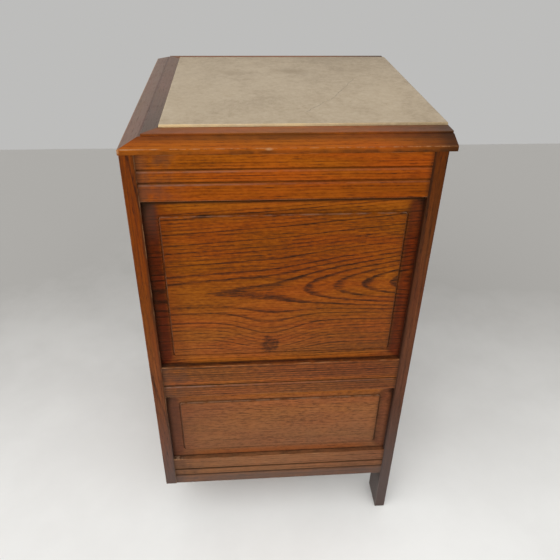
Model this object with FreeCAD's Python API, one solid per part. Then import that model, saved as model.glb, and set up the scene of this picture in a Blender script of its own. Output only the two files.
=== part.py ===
import FreeCAD, Part
import os
from math import asin, cos, radians, sin
from FreeCAD import Vector

os.makedirs("parts", exist_ok=True)

# Nightstand with a marble top. Millimetres, +Z up, front towards -Y, width along X.

# Whole piece
overall_height = 720.0
case_width = 460.0  # over the outer faces of the posts
case_depth = 397.0  # front face to back face of the posts
foot_height = 99.0  # floor to the underside of the bottom rails
back_overhang = 10.0  # top past the back posts
arris = 1.0  # rounding of worn wooden edges

# Marble and its moulded frame
marble_thickness = 20.0
marble_proud = 3.0
marble_gap = 0.4
marble_arris = 1.2
bed_thickness = 12.0
bed_rebate = 8.0
lip_overhang = 1.0
lip_height = 6.5
bevel_width = 21.7
bevel_rise = 8.1
ledge_width = 3.5
band_step = 2.4
side_band = 23.1
front_band = 18.8
moulding_arris = 0.7

# Posts, rails and panels
post_width = 52.0
post_thickness = 18.0
front_post_drop = 0.8  # front posts below the bottom rails
toe_round = 3.6  # worn bottom edges of the feet
frame_thickness = 18.0  # side rails
rail_height = 61.0
lower_opening = 146.0  # between bottom and middle rail
top_line_drops = (19.0, 36.0)  # scratched lines, down from a rail's upper edge
middle_line_drops = (37.0,)
bottom_line_drops = (24.0, 39.0)
line_depth = 2.2
line_rise = 0.8
line_fall = 3.4
panel_recess = 8.0  # frame face to panel margin
panel_edge = 6.0
panel_tongue = 7.0
panel_play = 1.0  # groove deeper than the tongue
panel_clearance = 0.15  # each face of the tongue
field_margin = 19.5
field_top_margin = 24.0
field_bottom_margin = 17.5
low_field_top_margin = 20.0
field_corner = 4.0
field_rise = 2.5
field_slope = 1.6
quirk_width = 1.4
quirk_depth = 0.9
shoulder_web = 2.0  # wood between a tenon and the panel groove
side_tenon = 12.0
front_tenon = 24.0
tenon_thickness = 6.0
tenon_clearance = 0.1

# Back, boards inside and plinth
back_panel_thickness = 5.0
back_panel_inset = 6.0
bottom_thickness = 12.0
shelf_thickness = 14.0
shelf_setback = 14.0  # behind the door
shelf_drop = 13.0  # below the middle rail's upper edge
shelf_gap = 0.4
cleat_size = 15.0
plinth_side_inset = 85.0
plinth_thickness = 18.0
plinth_return = 200.0
glue_block = 30.0

# Front divider and drawer
divider_height = 20.0
divider_depth = 50.0
divider_shoulder = 5.0
runner_overlap = 17.0  # runner under the drawer's side
runner_tongue = 8.0
guide_height = 15.0
drawer_gap = 1.5  # round the drawer front
drawer_running_gap = 0.8
drawer_lift = 0.3  # sides over the runners
drawer_headroom = 3.0
drawer_back_room = 29.0
drawer_side_thickness = 10.0
drawer_bottom_thickness = 6.0
drawer_bottom_rise = 6.0
drawer_groove = 5.0
drawer_back_drop = 5.0
tail_length = 11.0
tail_flare = 2.0
tail_count = 2
pin_neck = 1.6  # narrowest wood between two tails
stop_width = 30.0
stop_headroom = 1.8  # under the drawer's bottom
stop_depth = 14.0
stop_inset = 36.5  # in from the drawer's sides
stop_gap = 0.3

# Knob, turned
knob_plate_radius = 14.0
knob_plate_rim = 0.8
knob_plate_height = 2.0
knob_neck_radius = 6.0
knob_neck_height = 5.0
knob_head_radius = 11.0
knob_cheek_height = 4.5
knob_dome_height = 5.0
knob_screw_radius = 2.0
knob_screw_bite = 10.0
screw_head_radius = 4.0
screw_head_height = 2.4
screw_clearance = 0.05

# Door
door_gap = 1.5
stile_width = 50.0
door_rail_height = 50.0
door_tenon = 30.0
door_stop_drop = 12.0
door_stop_depth = 10.0
door_stop_gap = 0.3

# Butt hinges, on the right
hinge_length = 50.0
hinge_inset = 75.0  # door's end to the hinge's middle
leaf_thickness = 1.5
leaf_width = 15.0
knuckle_radius = 3.4
knuckle_count = 5
knuckle_gap = 0.4
hinge_proud = 4.0  # pin in front of the door's face
pin_radius = 1.6
pin_clearance = 0.05
pin_tip_radius = 2.4
pin_tip_height = 1.6
leaf_screw_radius = 1.4
leaf_screw_head = 2.8
leaf_screw_length = 14.0
leaf_screw_spacing = 17.0
slot_width = 0.7  # in the screw heads
slot_depth = 0.6

# Lock, on the left stile
lock_rise = 52.5  # key above the door's middle rail
selvedge_thickness = 1.5
selvedge_ear = 9.0  # selvedge past the case, top and bottom
lock_depth = 10.0
lock_wall = 1.5
lock_room = 2.0  # round the bolt, inside the case
backset = 22.0
bolt_thickness = 6.0
bolt_height = 12.0
bolt_over_key = 6.0
bolt_setback = 0.2
bolt_clearance = 0.2
bolt_throw = 8.0
talon_width = 8.8
talon_clearance = 1.2  # round the key's bit
talon_wall = 1.6
strike_thickness = 1.2
strike_ear = 16.0  # plate past the bolt, top and bottom
socket_room = 2.0  # past the thrown bolt
strike_screw_length = 10.0

# Key and its plate
key_radius = 2.5
key_reach = 37.0
bow_radius = 11.0
bow_hole = 7.0
bow_thickness = 3.4
bow_chamfer = 0.7
collar_radius = 4.0
collar_length = 3.0
bit_radius = 8.5
bit_thickness = 2.0
bit_width = 5.0
key_pin_radius = 1.5
key_pin_length = 1.2
key_clearance = 0.05
keyhole_clearance = 0.5
escutcheon_width = 24.0
escutcheon_height = 40.0
escutcheon_thickness = 1.5
escutcheon_corner = 11.0
escutcheon_pin_inset = 5.0
escutcheon_pin_room = 1.5  # short of the lock

# Levels and planes that follow from the sizes above
moulding_height = lip_height + bevel_rise + band_step
case_top = overall_height - marble_proud - moulding_height
bottom_rail_top = foot_height + rail_height
middle_rail_low = bottom_rail_top + lower_opening
middle_rail_top = middle_rail_low + rail_height
top_rail_low = case_top - rail_height
divider_low = top_rail_low - divider_height
side = case_width / 2
inner_side = side - frame_thickness
half_opening = side - post_width
front = key_reach - (key_reach + case_depth + back_overhang) / 2
back = front + case_depth
rail_front = front + post_thickness
rail_back = back - post_thickness
groove_depth = panel_tongue + panel_play
groove_back = panel_recess + panel_edge
bed_low = case_top - bed_thickness

x_axis = Vector(1, 0, 0)
y_axis = Vector(0, 1, 0)
z_axis = Vector(0, 0, 1)
middle = Vector(0, 0, 0)
pieces = {}


def add(name, *shapes):
    solids = [solid for shape in shapes for solid in shape.Solids]
    pieces[name] = solids[0] if len(solids) == 1 else Part.makeCompound(solids)


def block(xs, ys, zs):
    corner = Vector(min(xs), min(ys), min(zs))
    return Part.makeBox(max(xs) - min(xs), max(ys) - min(ys), max(zs) - min(zs), corner)


def span(centre, length):
    return (centre - length / 2, centre + length / 2)


def grown(limits, margin):
    return (limits[0] - margin, limits[1] + margin)


def rod(start, direction, radius, length):
    return Part.makeCylinder(radius, length, start, direction)


def prism(outline, travel):
    return Part.Face(Part.makePolygon(outline + outline[:1])).extrude(travel)


def joined(first, *others):
    return first.multiFuse(list(others)).removeSplitter()


def edges_along(shape, axis):
    return [edge for edge in shape.Edges if abs(edge.tangentAt(edge.FirstParameter).dot(axis)) > 0.999]


def board(xs, ys, zs, axis):
    # A board with its long edges, those along the axis, rounded by wear.
    plain = block(xs, ys, zs)
    return plain.makeFillet(arris, edges_along(plain, axis))


def rounded_outline(us, zs, radius, depth):
    # A closed outline with round corners, standing in the plane y = depth.
    centres = (
        (us[1] - radius, zs[0] + radius, -90),
        (us[1] - radius, zs[1] - radius, 0),
        (us[0] + radius, zs[1] - radius, 90),
        (us[0] + radius, zs[0] + radius, 180),
    )
    corners = []
    for centre_u, centre_z, start in centres:
        turns = [radians(start + turn) for turn in (0, 45, 90)]
        corners.append([Vector(centre_u + radius * cos(t), depth, centre_z + radius * sin(t)) for t in turns])
    edges = []
    for corner, following in zip(corners, corners[1:] + corners[:1]):
        edges.append(Part.Arc(*corner).toShape())
        edges.append(Part.LineSegment(corner[2], following[0]).toShape())
    return Part.Wire(edges)


# Framed work is drawn face on: u runs along the frame, depth goes in from its outer face, z is up.


def to_right(shape):
    turned = shape.copy()
    turned.rotate(middle, z_axis, 90)
    turned.translate(Vector(side, 0, 0))
    return turned


def to_left(shape):
    return to_right(shape).mirror(middle, x_axis)


def to_front(shape):
    moved = shape.copy()
    moved.translate(Vector(0, front, 0))
    return moved


def scratched_line(us, height):
    corners = [(0, height + line_rise), (line_depth, height), (0, height - line_fall)]
    return prism([Vector(us[0], depth, z) for depth, z in corners], Vector(us[1] - us[0], 0, 0))


def rail_tenons(us, zs, length, depth, shoulder, clearance=0.0):
    # The two tenons of a rail, or the mortises for them when a clearance is given.
    depths = grown((depth, depth + tenon_thickness), clearance)
    heights = grown((zs[0] + shoulder, zs[1] - shoulder), clearance)
    reach = length + clearance
    return [block((us[0] - reach, us[0]), depths, heights), block((us[1], us[1] + reach), depths, heights)]


def panel_groove(us, zs):
    return block(us, grown((panel_recess, groove_back), panel_clearance), zs)


def raised_panel(us, zs, top_margin, bottom_margin):
    slab = block(grown(us, panel_tongue), (panel_recess, groove_back), grown(zs, panel_tongue))
    field_us = grown(us, -field_margin)
    field_zs = (zs[0] + bottom_margin, zs[1] - top_margin)
    quirk_wire = rounded_outline(
        grown(field_us, quirk_width), grown(field_zs, quirk_width), field_corner + quirk_width, panel_recess
    )
    quirk = Part.Face(quirk_wire).extrude(Vector(0, quirk_depth, 0))
    foot = rounded_outline(field_us, field_zs, field_corner, panel_recess + quirk_depth)
    crown = rounded_outline(
        grown(field_us, -field_slope),
        grown(field_zs, -field_slope),
        field_corner - field_slope,
        panel_recess - field_rise,
    )
    return joined(slab.cut(quirk), Part.makeLoft([foot, crown], True, True))


screw_slots = []


def countersunk(head, direction, length):
    # A wood screw whose flat head ends at the given point. Its slot is cut once the seats are made.
    slot = block(span(0, slot_width), span(0, 2 * slot_depth), span(0, 2 * leaf_screw_head))
    slot.rotate(middle, z_axis, 90 * abs(direction.x))
    slot.translate(head)
    screw_slots.append(slot)
    cone = Part.makeCone(leaf_screw_head, leaf_screw_radius, leaf_thickness, head, direction)
    return joined(cone, rod(head, direction, leaf_screw_radius, length))


def slotted(screws):
    return [screw.cut(screw_slots) for screw in screws]


# Side frames

side_us = (rail_front, rail_back)
side_tenon_shoulder = groove_depth + shoulder_web
bottom_zs = (foot_height, bottom_rail_top)
middle_zs = (middle_rail_low, middle_rail_top)
top_zs = (top_rail_low, case_top)
lower_opening_zs = (bottom_rail_top, middle_rail_low)
upper_opening_zs = (middle_rail_top, top_rail_low)


def side_rail(zs, line_drops, groove_above, groove_below):
    rail = board(side_us, (0, frame_thickness), zs, x_axis)
    rail = joined(rail, *rail_tenons(side_us, zs, side_tenon, panel_recess, side_tenon_shoulder))
    cuts = [scratched_line(side_us, zs[1] - drop) for drop in line_drops]
    if groove_above:
        cuts.append(panel_groove(side_us, (zs[1] - groove_depth, zs[1])))
    if groove_below:
        cuts.append(panel_groove(side_us, (zs[0], zs[0] + groove_depth)))
    return rail.cut(cuts)


bed_seat = block(side_us, (frame_thickness - bed_rebate, frame_thickness), (bed_low, case_top))
side_pieces = {
    "top_rail": side_rail(top_zs, top_line_drops, False, True).cut(bed_seat),
    "middle_rail": side_rail(middle_zs, middle_line_drops, True, True),
    "bottom_rail": side_rail(bottom_zs, bottom_line_drops, True, False),
    "upper_panel": raised_panel(side_us, upper_opening_zs, field_top_margin, field_bottom_margin),
    "lower_panel": raised_panel(side_us, lower_opening_zs, low_field_top_margin, field_bottom_margin),
}
for piece, shape in side_pieces.items():
    add("right_" + piece, to_right(shape))
    add("left_" + piece, to_left(shape))

side_frame_cuts = []
for zs in (bottom_zs, middle_zs, top_zs):
    side_frame_cuts += rail_tenons(
        side_us, zs, side_tenon, panel_recess, side_tenon_shoulder, tenon_clearance
    )
for zs in (lower_opening_zs, upper_opening_zs):
    side_frame_cuts.append(panel_groove(grown(side_us, groove_depth), grown(zs, groove_depth)))

# Hinges: the pin stands in front of the gap between the right post and the door

door_side = half_opening - door_gap
door_zs = (bottom_rail_top + door_gap, divider_low - door_gap)
pin_x = half_opening - door_gap / 2
pin_y = front - hinge_proud
hinge_heights = (door_zs[0] + hinge_inset, door_zs[1] - hinge_inset)
leaf_ys = (front, front + leaf_width)
leaf_screw_y = front + leaf_width / 2
knuckle_pitch = hinge_length / knuckle_count
knuckle_bore = pin_radius + pin_clearance


def hinge_leaf(height, plate_xs, first_knuckle):
    leaf = block(plate_xs, leaf_ys, span(height, hinge_length))
    bottom = height - hinge_length / 2
    parts = []
    for index in range(first_knuckle, knuckle_count, 2):
        low = bottom + index * knuckle_pitch + knuckle_gap / 2
        length = knuckle_pitch - knuckle_gap
        parts.append(rod(Vector(pin_x, pin_y, low), z_axis, knuckle_radius, length))
        parts.append(block(plate_xs, (pin_y, front), (low, low + length)))
    bore = rod(Vector(pin_x, pin_y, bottom), z_axis, knuckle_bore, hinge_length)
    return joined(leaf, *parts).cut(bore)


def hinge_screws(height, face_x, direction):
    offsets = (-leaf_screw_spacing, 0, leaf_screw_spacing)
    heads = [Vector(face_x, leaf_screw_y, height + offset) for offset in offsets]
    return [countersunk(head, direction, leaf_screw_length) for head in heads]


def hinge_pin(height):
    length = hinge_length + knuckle_gap
    low = height - length / 2
    shank = rod(Vector(pin_x, pin_y, low), z_axis, pin_radius, length)
    tips = [
        rod(Vector(pin_x, pin_y, low), -z_axis, pin_tip_radius, pin_tip_height),
        rod(Vector(pin_x, pin_y, low + length), z_axis, pin_tip_radius, pin_tip_height),
    ]
    return joined(shank, *tips)


frame_leaf_xs = (half_opening, half_opening + leaf_thickness)
door_leaf_xs = (door_side - leaf_thickness, door_side)
frame_hinge_screws = []
door_screws = []
for height in hinge_heights:
    frame_hinge_screws += hinge_screws(height, half_opening, x_axis)
    door_screws += hinge_screws(height, door_side, -x_axis)
frame_leaf_seats = [block(frame_leaf_xs, leaf_ys, span(height, hinge_length)) for height in hinge_heights]
door_leaf_seats = [block(door_leaf_xs, leaf_ys, span(height, hinge_length)) for height in hinge_heights]
add("frame_hinge_leaves", *[hinge_leaf(z, frame_leaf_xs, 0).cut(frame_hinge_screws) for z in hinge_heights])
add("door_hinge_leaves", *[hinge_leaf(z, door_leaf_xs, 1).cut(door_screws) for z in hinge_heights])
add("hinge_pins", *[hinge_pin(z) for z in hinge_heights])

# Lock, let into the inner face of the door's left stile

key_x = backset - door_side
key_z = middle_rail_top + lock_rise
lock_ys = (rail_front - lock_depth, rail_front)
lock_y = sum(lock_ys) / 2
cavity_ys = grown(lock_ys, -lock_wall)
bolt_ys = span(lock_y, bolt_thickness)
bolt_zs = (key_z + bolt_over_key, key_z + bolt_over_key + bolt_height)
bolt_z = sum(bolt_zs) / 2
talon_start = key_x + bolt_throw - bit_thickness / 2 - talon_clearance
talon_xs = (talon_start, talon_start + talon_width)
talon_zs = (bolt_zs[0], key_z + bit_radius + talon_clearance)
bolt_xs = (bolt_setback - door_side, talon_xs[1] + talon_wall)
selvedge_back = selvedge_thickness - door_side
lock_xs = (-door_side, bolt_xs[1] + lock_room + lock_wall)
lock_height = 2 * (bolt_zs[1] + lock_room + lock_wall - key_z)
selvedge_length = lock_height + 2 * selvedge_ear
keyhole_radius = key_radius + keyhole_clearance


def keyhole(ys):
    length = ys[1] - ys[0]
    slot_half = bit_thickness / 2 + keyhole_clearance
    slot = block((key_x - slot_half, key_x + slot_half), ys, (key_z - bit_radius - keyhole_clearance, key_z))
    return joined(rod(Vector(key_x, ys[0], key_z), y_axis, keyhole_radius, length), slot)


lock_box = block((selvedge_back, lock_xs[1]), lock_ys, span(key_z, lock_height))
selvedge = block((lock_xs[0], selvedge_back), lock_ys, span(key_z, selvedge_length))
lock_body = joined(lock_box, selvedge)
cavity_height = lock_height - 2 * lock_wall
lock_cavity = block((selvedge_back, lock_xs[1] - lock_wall), cavity_ys, span(key_z, cavity_height))
bolt_mouth = block(
    (lock_xs[0], selvedge_back), grown(bolt_ys, bolt_clearance), grown(bolt_zs, bolt_clearance)
)
key_pin_hole = rod(
    Vector(key_x, cavity_ys[1], key_z), y_axis, key_pin_radius + key_clearance, lock_wall
)
add("lock_case", lock_body.cut([lock_cavity, bolt_mouth, key_pin_hole, keyhole((lock_ys[0], cavity_ys[0]))]))

add("lock_bolt", block(bolt_xs, bolt_ys, bolt_zs).cut(block(talon_xs, bolt_ys, talon_zs)))


def make_key():
    axis_point = Vector(key_x, front, key_z)
    bow_y = front - key_reach + bow_radius
    shaft_end = cavity_ys[1] - key_clearance
    shaft_start = bow_y + bow_hole
    shaft = rod(Vector(key_x, shaft_start, key_z), y_axis, key_radius, shaft_end - shaft_start)
    drill_pin = rod(Vector(key_x, shaft_end, key_z), y_axis, key_pin_radius, key_pin_length)
    collar_start = axis_point - y_axis * (escutcheon_thickness + collar_length)
    collar = rod(collar_start, y_axis, collar_radius, collar_length - key_clearance)
    bow_start = Vector(key_x - bow_thickness / 2, bow_y, key_z)
    eye = rod(bow_start, x_axis, bow_hole, bow_thickness)
    bow = rod(bow_start, x_axis, bow_radius, bow_thickness).cut(eye)
    rims = [edge for edge in bow.Edges if edge.Curve.TypeId == "Part::GeomCircle"]
    bow = bow.makeChamfer(bow_chamfer, rims)
    bit = block(span(key_x, bit_thickness), span(lock_y, bit_width), (key_z - bit_radius, key_z))
    return joined(shaft, drill_pin, collar, bow, bit)


add("key", make_key())
plate_ys = (front - escutcheon_thickness, front)
plate_outline = rounded_outline(
    span(key_x, escutcheon_width), span(key_z, escutcheon_height), escutcheon_corner, plate_ys[0]
)
escutcheon = Part.Face(plate_outline).extrude(Vector(0, escutcheon_thickness, 0))
escutcheon_pins = []
pin_length = lock_ys[0] - plate_ys[0] - escutcheon_pin_room
for offset in span(0, escutcheon_height - 2 * escutcheon_pin_inset):
    head = Vector(key_x, plate_ys[0], key_z + offset)
    escutcheon_pins.append(countersunk(head, y_axis, pin_length))
add("escutcheon", escutcheon.cut([keyhole(plate_ys)] + escutcheon_pins))
add("door_screws", *slotted(door_screws + escutcheon_pins))
lock_cuts = [lock_body, keyhole((front, lock_ys[0]))]

# Strike plate in the left front post
strike_xs = (-half_opening - strike_thickness, -half_opening)
strike_seat = block(strike_xs, lock_ys, grown(bolt_zs, strike_ear))
socket_ys = grown(bolt_ys, bolt_clearance)
socket_zs = grown(bolt_zs, bolt_clearance)
strike_screws = []
for offset in span(0, bolt_height + strike_ear):
    head = Vector(-half_opening, lock_y, bolt_z + offset)
    strike_screws.append(countersunk(head, -x_axis, strike_screw_length))
add("strike_plate", strike_seat.cut([block(strike_xs, socket_ys, socket_zs)] + strike_screws))
socket_end = bolt_xs[0] - bolt_throw - socket_room
bolt_socket = block((socket_end, -half_opening), socket_ys, socket_zs)
add("frame_screws", *slotted(frame_hinge_screws + strike_screws))

# Front rails between the posts

front_us = (-half_opening, half_opening)
tenon_depth = (post_thickness - tenon_thickness) / 2
front_bottom = board(front_us, (0, post_thickness), bottom_zs, x_axis)
front_bottom = joined(
    front_bottom, *rail_tenons(front_us, bottom_zs, front_tenon, tenon_depth, side_tenon_shoulder)
)
front_bottom = front_bottom.cut([scratched_line(front_us, bottom_zs[1] - drop) for drop in bottom_line_drops])
add("front_bottom_rail", to_front(front_bottom))

divider_zs = (divider_low, top_rail_low)
runner_tongue_zs = span(sum(divider_zs) / 2, tenon_thickness)
runner_xs = (door_side - runner_overlap, inner_side)
tongue_xs = (runner_xs[0], half_opening)
runner_ys = (front + divider_depth, rail_back)
tongue_ys = (runner_ys[0] - runner_tongue, runner_ys[0])
divider = board(front_us, (0, divider_depth), divider_zs, x_axis)
divider = joined(divider, *rail_tenons(front_us, divider_zs, front_tenon, tenon_depth, divider_shoulder))
divider = to_front(divider)
runner = joined(block(runner_xs, runner_ys, divider_zs), block(tongue_xs, tongue_ys, runner_tongue_zs))
runners = [runner, runner.mirror(middle, x_axis)]
add("divider_rail", divider.cut(runners))
add("drawer_runners", *runners)

front_mortises = rail_tenons(
    front_us, bottom_zs, front_tenon, tenon_depth, side_tenon_shoulder, tenon_clearance
)
front_mortises += rail_tenons(
    front_us, divider_zs, front_tenon, tenon_depth, divider_shoulder, tenon_clearance
)
front_mortises = [to_front(mortise) for mortise in front_mortises]

# Back rails and panel

back_us = front_us
back_ys = (rail_back, back)
back_groove_ys = (back - back_panel_inset - back_panel_thickness, back - back_panel_inset)
back_tenon_depth = rail_back + tenon_depth


def back_rail(zs, groove_zs):
    rail = board(back_us, back_ys, zs, x_axis)
    rail = joined(rail, *rail_tenons(back_us, zs, front_tenon, back_tenon_depth, side_tenon_shoulder))
    return rail.cut(block(back_us, grown(back_groove_ys, panel_clearance), groove_zs))


back_opening_zs = (bottom_rail_top, top_rail_low)
add("back_top_rail", back_rail(top_zs, (top_rail_low, top_rail_low + groove_depth)))
add("back_bottom_rail", back_rail(bottom_zs, (bottom_rail_top - groove_depth, bottom_rail_top)))
add("back_panel", block(grown(back_us, panel_tongue), back_groove_ys, grown(back_opening_zs, panel_tongue)))
back_cuts = [
    block(
        grown(back_us, groove_depth),
        grown(back_groove_ys, panel_clearance),
        grown(back_opening_zs, groove_depth),
    )
]
for zs in (bottom_zs, top_zs):
    back_cuts += rail_tenons(
        back_us, zs, front_tenon, back_tenon_depth, side_tenon_shoulder, tenon_clearance
    )

# Posts

post_xs = (half_opening, side)
front_post_zs = (foot_height - front_post_drop, case_top)
front_post = board(post_xs, (front, rail_front), front_post_zs, z_axis)
back_post = board(post_xs, back_ys, (0, case_top), z_axis)
worn_foot = block(post_xs, back_ys, (0, case_top))
toe_edges = [edge for edge in worn_foot.Edges if edge.BoundBox.ZMax < arris]
back_post = back_post.common(worn_foot.makeFillet(toe_round, toe_edges))
right_cuts = [to_right(shape) for shape in side_frame_cuts]
left_cuts = [to_left(shape) for shape in side_frame_cuts]
hinge_cuts = frame_leaf_seats + frame_hinge_screws
strike_cuts = [strike_seat, bolt_socket] + strike_screws
add("right_front_post", front_post.cut(right_cuts + front_mortises + hinge_cuts))
add("left_front_post", front_post.mirror(middle, x_axis).cut(left_cuts + front_mortises + strike_cuts))
add("right_back_post", back_post.cut(right_cuts + back_cuts))
add("left_back_post", back_post.mirror(middle, x_axis).cut(left_cuts + back_cuts))

# Top: bed board, moulded frame and marble

lip = side + lip_overhang
top_front = front - lip_overhang
top_back = back + back_overhang
moulded_width = bevel_width + ledge_width
side_moulding = moulded_width + side_band
front_moulding = moulded_width + front_band
marble_side = lip - side_moulding
marble_front = top_front + front_moulding
bed_side = inner_side + bed_rebate
add("marble_bed", block((-bed_side, bed_side), (rail_front + drawer_gap, rail_back), (bed_low, case_top)))


def moulding_profile(width):
    # Distance in from the lip, and height: lip, bevel, ledge, step and flat band.
    return (
        (0, case_top),
        (0, case_top + lip_height),
        (bevel_width, case_top + lip_height + bevel_rise),
        (moulded_width, case_top + lip_height + bevel_rise),
        (moulded_width, case_top + moulding_height),
        (width, case_top + moulding_height),
        (width, case_top),
    )


def softened(shape, axis):
    upper = [edge for edge in edges_along(shape, axis) if edge.BoundBox.ZMin > case_top + arris]
    return shape.makeFillet(moulding_arris, upper)


def plan_prism(points):
    return prism([Vector(x, y, case_top) for x, y in points], Vector(0, 0, moulding_height))


lip_corner = (lip, top_front)
band_corner = (lip - moulded_width, top_front + moulded_width)
marble_corner = (marble_side, marble_front)
mitre = (lip_corner, band_corner, marble_corner)
front_bar = prism(
    [Vector(-lip, top_front + inset, z) for inset, z in moulding_profile(front_moulding)],
    Vector(2 * lip, 0, 0),
)
front_plan = list(mitre) + [(-x, y) for x, y in reversed(mitre)]
add("front_moulding", softened(front_bar, x_axis).common(plan_prism(front_plan)))
side_bar = prism(
    [Vector(lip - inset, top_front, z) for inset, z in moulding_profile(side_moulding)],
    Vector(0, top_back - top_front, 0),
)
side_plan = list(mitre) + [(marble_side, top_back), (lip, top_back)]
right_moulding = softened(side_bar, y_axis).common(plan_prism(side_plan))
add("right_moulding", right_moulding)
add("left_moulding", right_moulding.mirror(middle, x_axis))

marble = block(
    grown((-marble_side, marble_side), -marble_gap),
    (marble_front + marble_gap, top_back),
    (overall_height - marble_thickness, overall_height),
)
marble_edges = [edge for edge in marble.Edges if edge.BoundBox.ZMin > overall_height - marble_arris]
add("marble_top", marble.makeFillet(marble_arris, marble_edges))

# Boards inside

bottom_xs = (-inner_side, inner_side)
board_ys = (rail_front, rail_back)
bottom_board_zs = (bottom_rail_top - bottom_thickness, bottom_rail_top)
add("bottom_board", block(bottom_xs, board_ys, bottom_board_zs))
shelf_top = middle_rail_top - shelf_drop
shelf_low = shelf_top - shelf_thickness
shelf_ys = (rail_front + shelf_setback, rail_back - shelf_gap)
shelf_xs = grown(bottom_xs, -shelf_gap)
add("shelf", board(shelf_xs, shelf_ys, (shelf_low, shelf_top), x_axis))
cleat_xs = (inner_side - cleat_size, inner_side)


def cleat_pair(ys, top):
    cleat = block(cleat_xs, ys, (top - cleat_size, top))
    return [cleat, cleat.mirror(middle, x_axis)]


add("shelf_cleats", *cleat_pair(shelf_ys, shelf_low))
add("bottom_cleats", *cleat_pair(board_ys, bottom_board_zs[0]))

# Plinth, set in from both sides and from the front

plinth_x = side - plinth_side_inset
plinth_zs = (0, bottom_board_zs[0])
plinth_ys = (rail_front, rail_front + plinth_thickness)
return_xs = (plinth_x - plinth_thickness, plinth_x)
return_ys = (plinth_ys[1], plinth_ys[1] + plinth_return)
plinth_return_board = block(return_xs, return_ys, plinth_zs)
add("plinth_front", board((-plinth_x, plinth_x), plinth_ys, plinth_zs, z_axis))
add("plinth_returns", plinth_return_board, plinth_return_board.mirror(middle, x_axis))
block_corner = Vector(return_xs[0], return_ys[0], 0)
block_plan = [block_corner, block_corner - x_axis * glue_block, block_corner + y_axis * glue_block]
corner_block = prism(block_plan, Vector(0, 0, plinth_zs[1]))
add("plinth_blocks", corner_block, corner_block.mirror(middle, x_axis))

# Drawer

drawer_side = door_side
drawer_front_zs = (top_rail_low + drawer_gap, case_top - drawer_gap)
drawer_zs = (top_rail_low + drawer_lift, bed_low - drawer_headroom)
drawer_back = rail_back - drawer_back_room
tail_front = rail_front - tail_length
drawer_side_xs = (drawer_side - drawer_side_thickness, drawer_side)
drawer_bottom_low = drawer_zs[0] + drawer_bottom_rise
drawer_bottom_zs = (drawer_bottom_low, drawer_bottom_low + drawer_bottom_thickness)
drawer_inside = drawer_side_xs[0]
tail_zs = (drawer_bottom_zs[1], drawer_zs[1] - drawer_back_drop)
tail_pitch = (tail_zs[1] - tail_zs[0]) / tail_count
tail_end = tail_pitch - pin_neck
tail_root = tail_end - 2 * tail_flare


def dovetails(root_y, end_y):
    # Tails on the end of a drawer side, wider at their ends.
    tails = []
    for index in range(tail_count):
        height = tail_zs[0] + (index + 0.5) * tail_pitch
        root = span(height, tail_root)
        end = span(height, tail_end)
        corners = [(root_y, root[0]), (end_y, end[0]), (end_y, end[1]), (root_y, root[1])]
        outline = [Vector(drawer_side_xs[0], y, z) for y, z in corners]
        tails.append(prism(outline, Vector(drawer_side_thickness, 0, 0)))
    return tails


def mirrored(shapes):
    return [shape.mirror(middle, x_axis) for shape in shapes]


back_tail_start = drawer_back - drawer_side_thickness
front_tails = dovetails(rail_front, tail_front)
back_tails = dovetails(back_tail_start, drawer_back)
side_board = block(drawer_side_xs, (rail_front, back_tail_start), drawer_zs)
below_back = block(drawer_side_xs, (back_tail_start, drawer_back), (drawer_zs[0], drawer_bottom_zs[1]))
drawer_groove_cut = block(
    (drawer_inside, drawer_inside + drawer_groove), (rail_front, drawer_back), drawer_bottom_zs
)
drawer_side_piece = joined(side_board, below_back, *front_tails, *back_tails).cut(drawer_groove_cut)
add("drawer_right_side", drawer_side_piece)
add("drawer_left_side", drawer_side_piece.mirror(middle, x_axis))
drawer_bottom_xs = grown((-drawer_inside, drawer_inside), drawer_groove)
drawer_bottom_ys = (rail_front - drawer_groove, drawer_back)
drawer_bottom = block(drawer_bottom_xs, (rail_front, drawer_back), drawer_bottom_zs)
bottom_tongue = block((-drawer_inside, drawer_inside), (drawer_bottom_ys[0], rail_front), drawer_bottom_zs)
drawer_bottom = joined(drawer_bottom, bottom_tongue)
add("drawer_bottom", drawer_bottom)
drawer_us = (-drawer_side, drawer_side)
drawer_back_board = block(drawer_us, (back_tail_start, drawer_back), tail_zs)
add("drawer_back", drawer_back_board.cut(back_tails + mirrored(back_tails)))

knob_z = sum(drawer_front_zs) / 2
knob_start = Vector(0, front, knob_z)


def turned_knob():
    # Plate, neck and domed head, turned about the Y axis.
    rim_y = front - knob_plate_rim
    neck_y = front - knob_plate_height
    head_y = neck_y - knob_neck_height
    brim_y = head_y - knob_cheek_height
    dome_radius = (knob_head_radius**2 + knob_dome_height**2) / (2 * knob_dome_height)
    dome_y = brim_y - knob_dome_height + dome_radius
    half_turn = asin(knob_head_radius / dome_radius) / 2
    outline = [
        (0, front),
        (knob_plate_radius, front),
        (knob_plate_radius, rim_y),
        (knob_neck_radius, neck_y),
        (knob_neck_radius, head_y),
        (knob_head_radius, brim_y),
    ]
    spots = [Vector(radius, y, knob_z) for radius, y in outline]
    crown = Vector(0, dome_y - dome_radius, knob_z)
    cheek = Vector(dome_radius * sin(half_turn), dome_y - dome_radius * cos(half_turn), knob_z)
    edges = [Part.LineSegment(start, end).toShape() for start, end in zip(spots, spots[1:])]
    edges.append(Part.Arc(spots[-1], cheek, crown).toShape())
    edges.append(Part.LineSegment(crown, spots[0]).toShape())
    return Part.Face(Part.Wire(edges)).revolve(knob_start, y_axis, 360)


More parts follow.
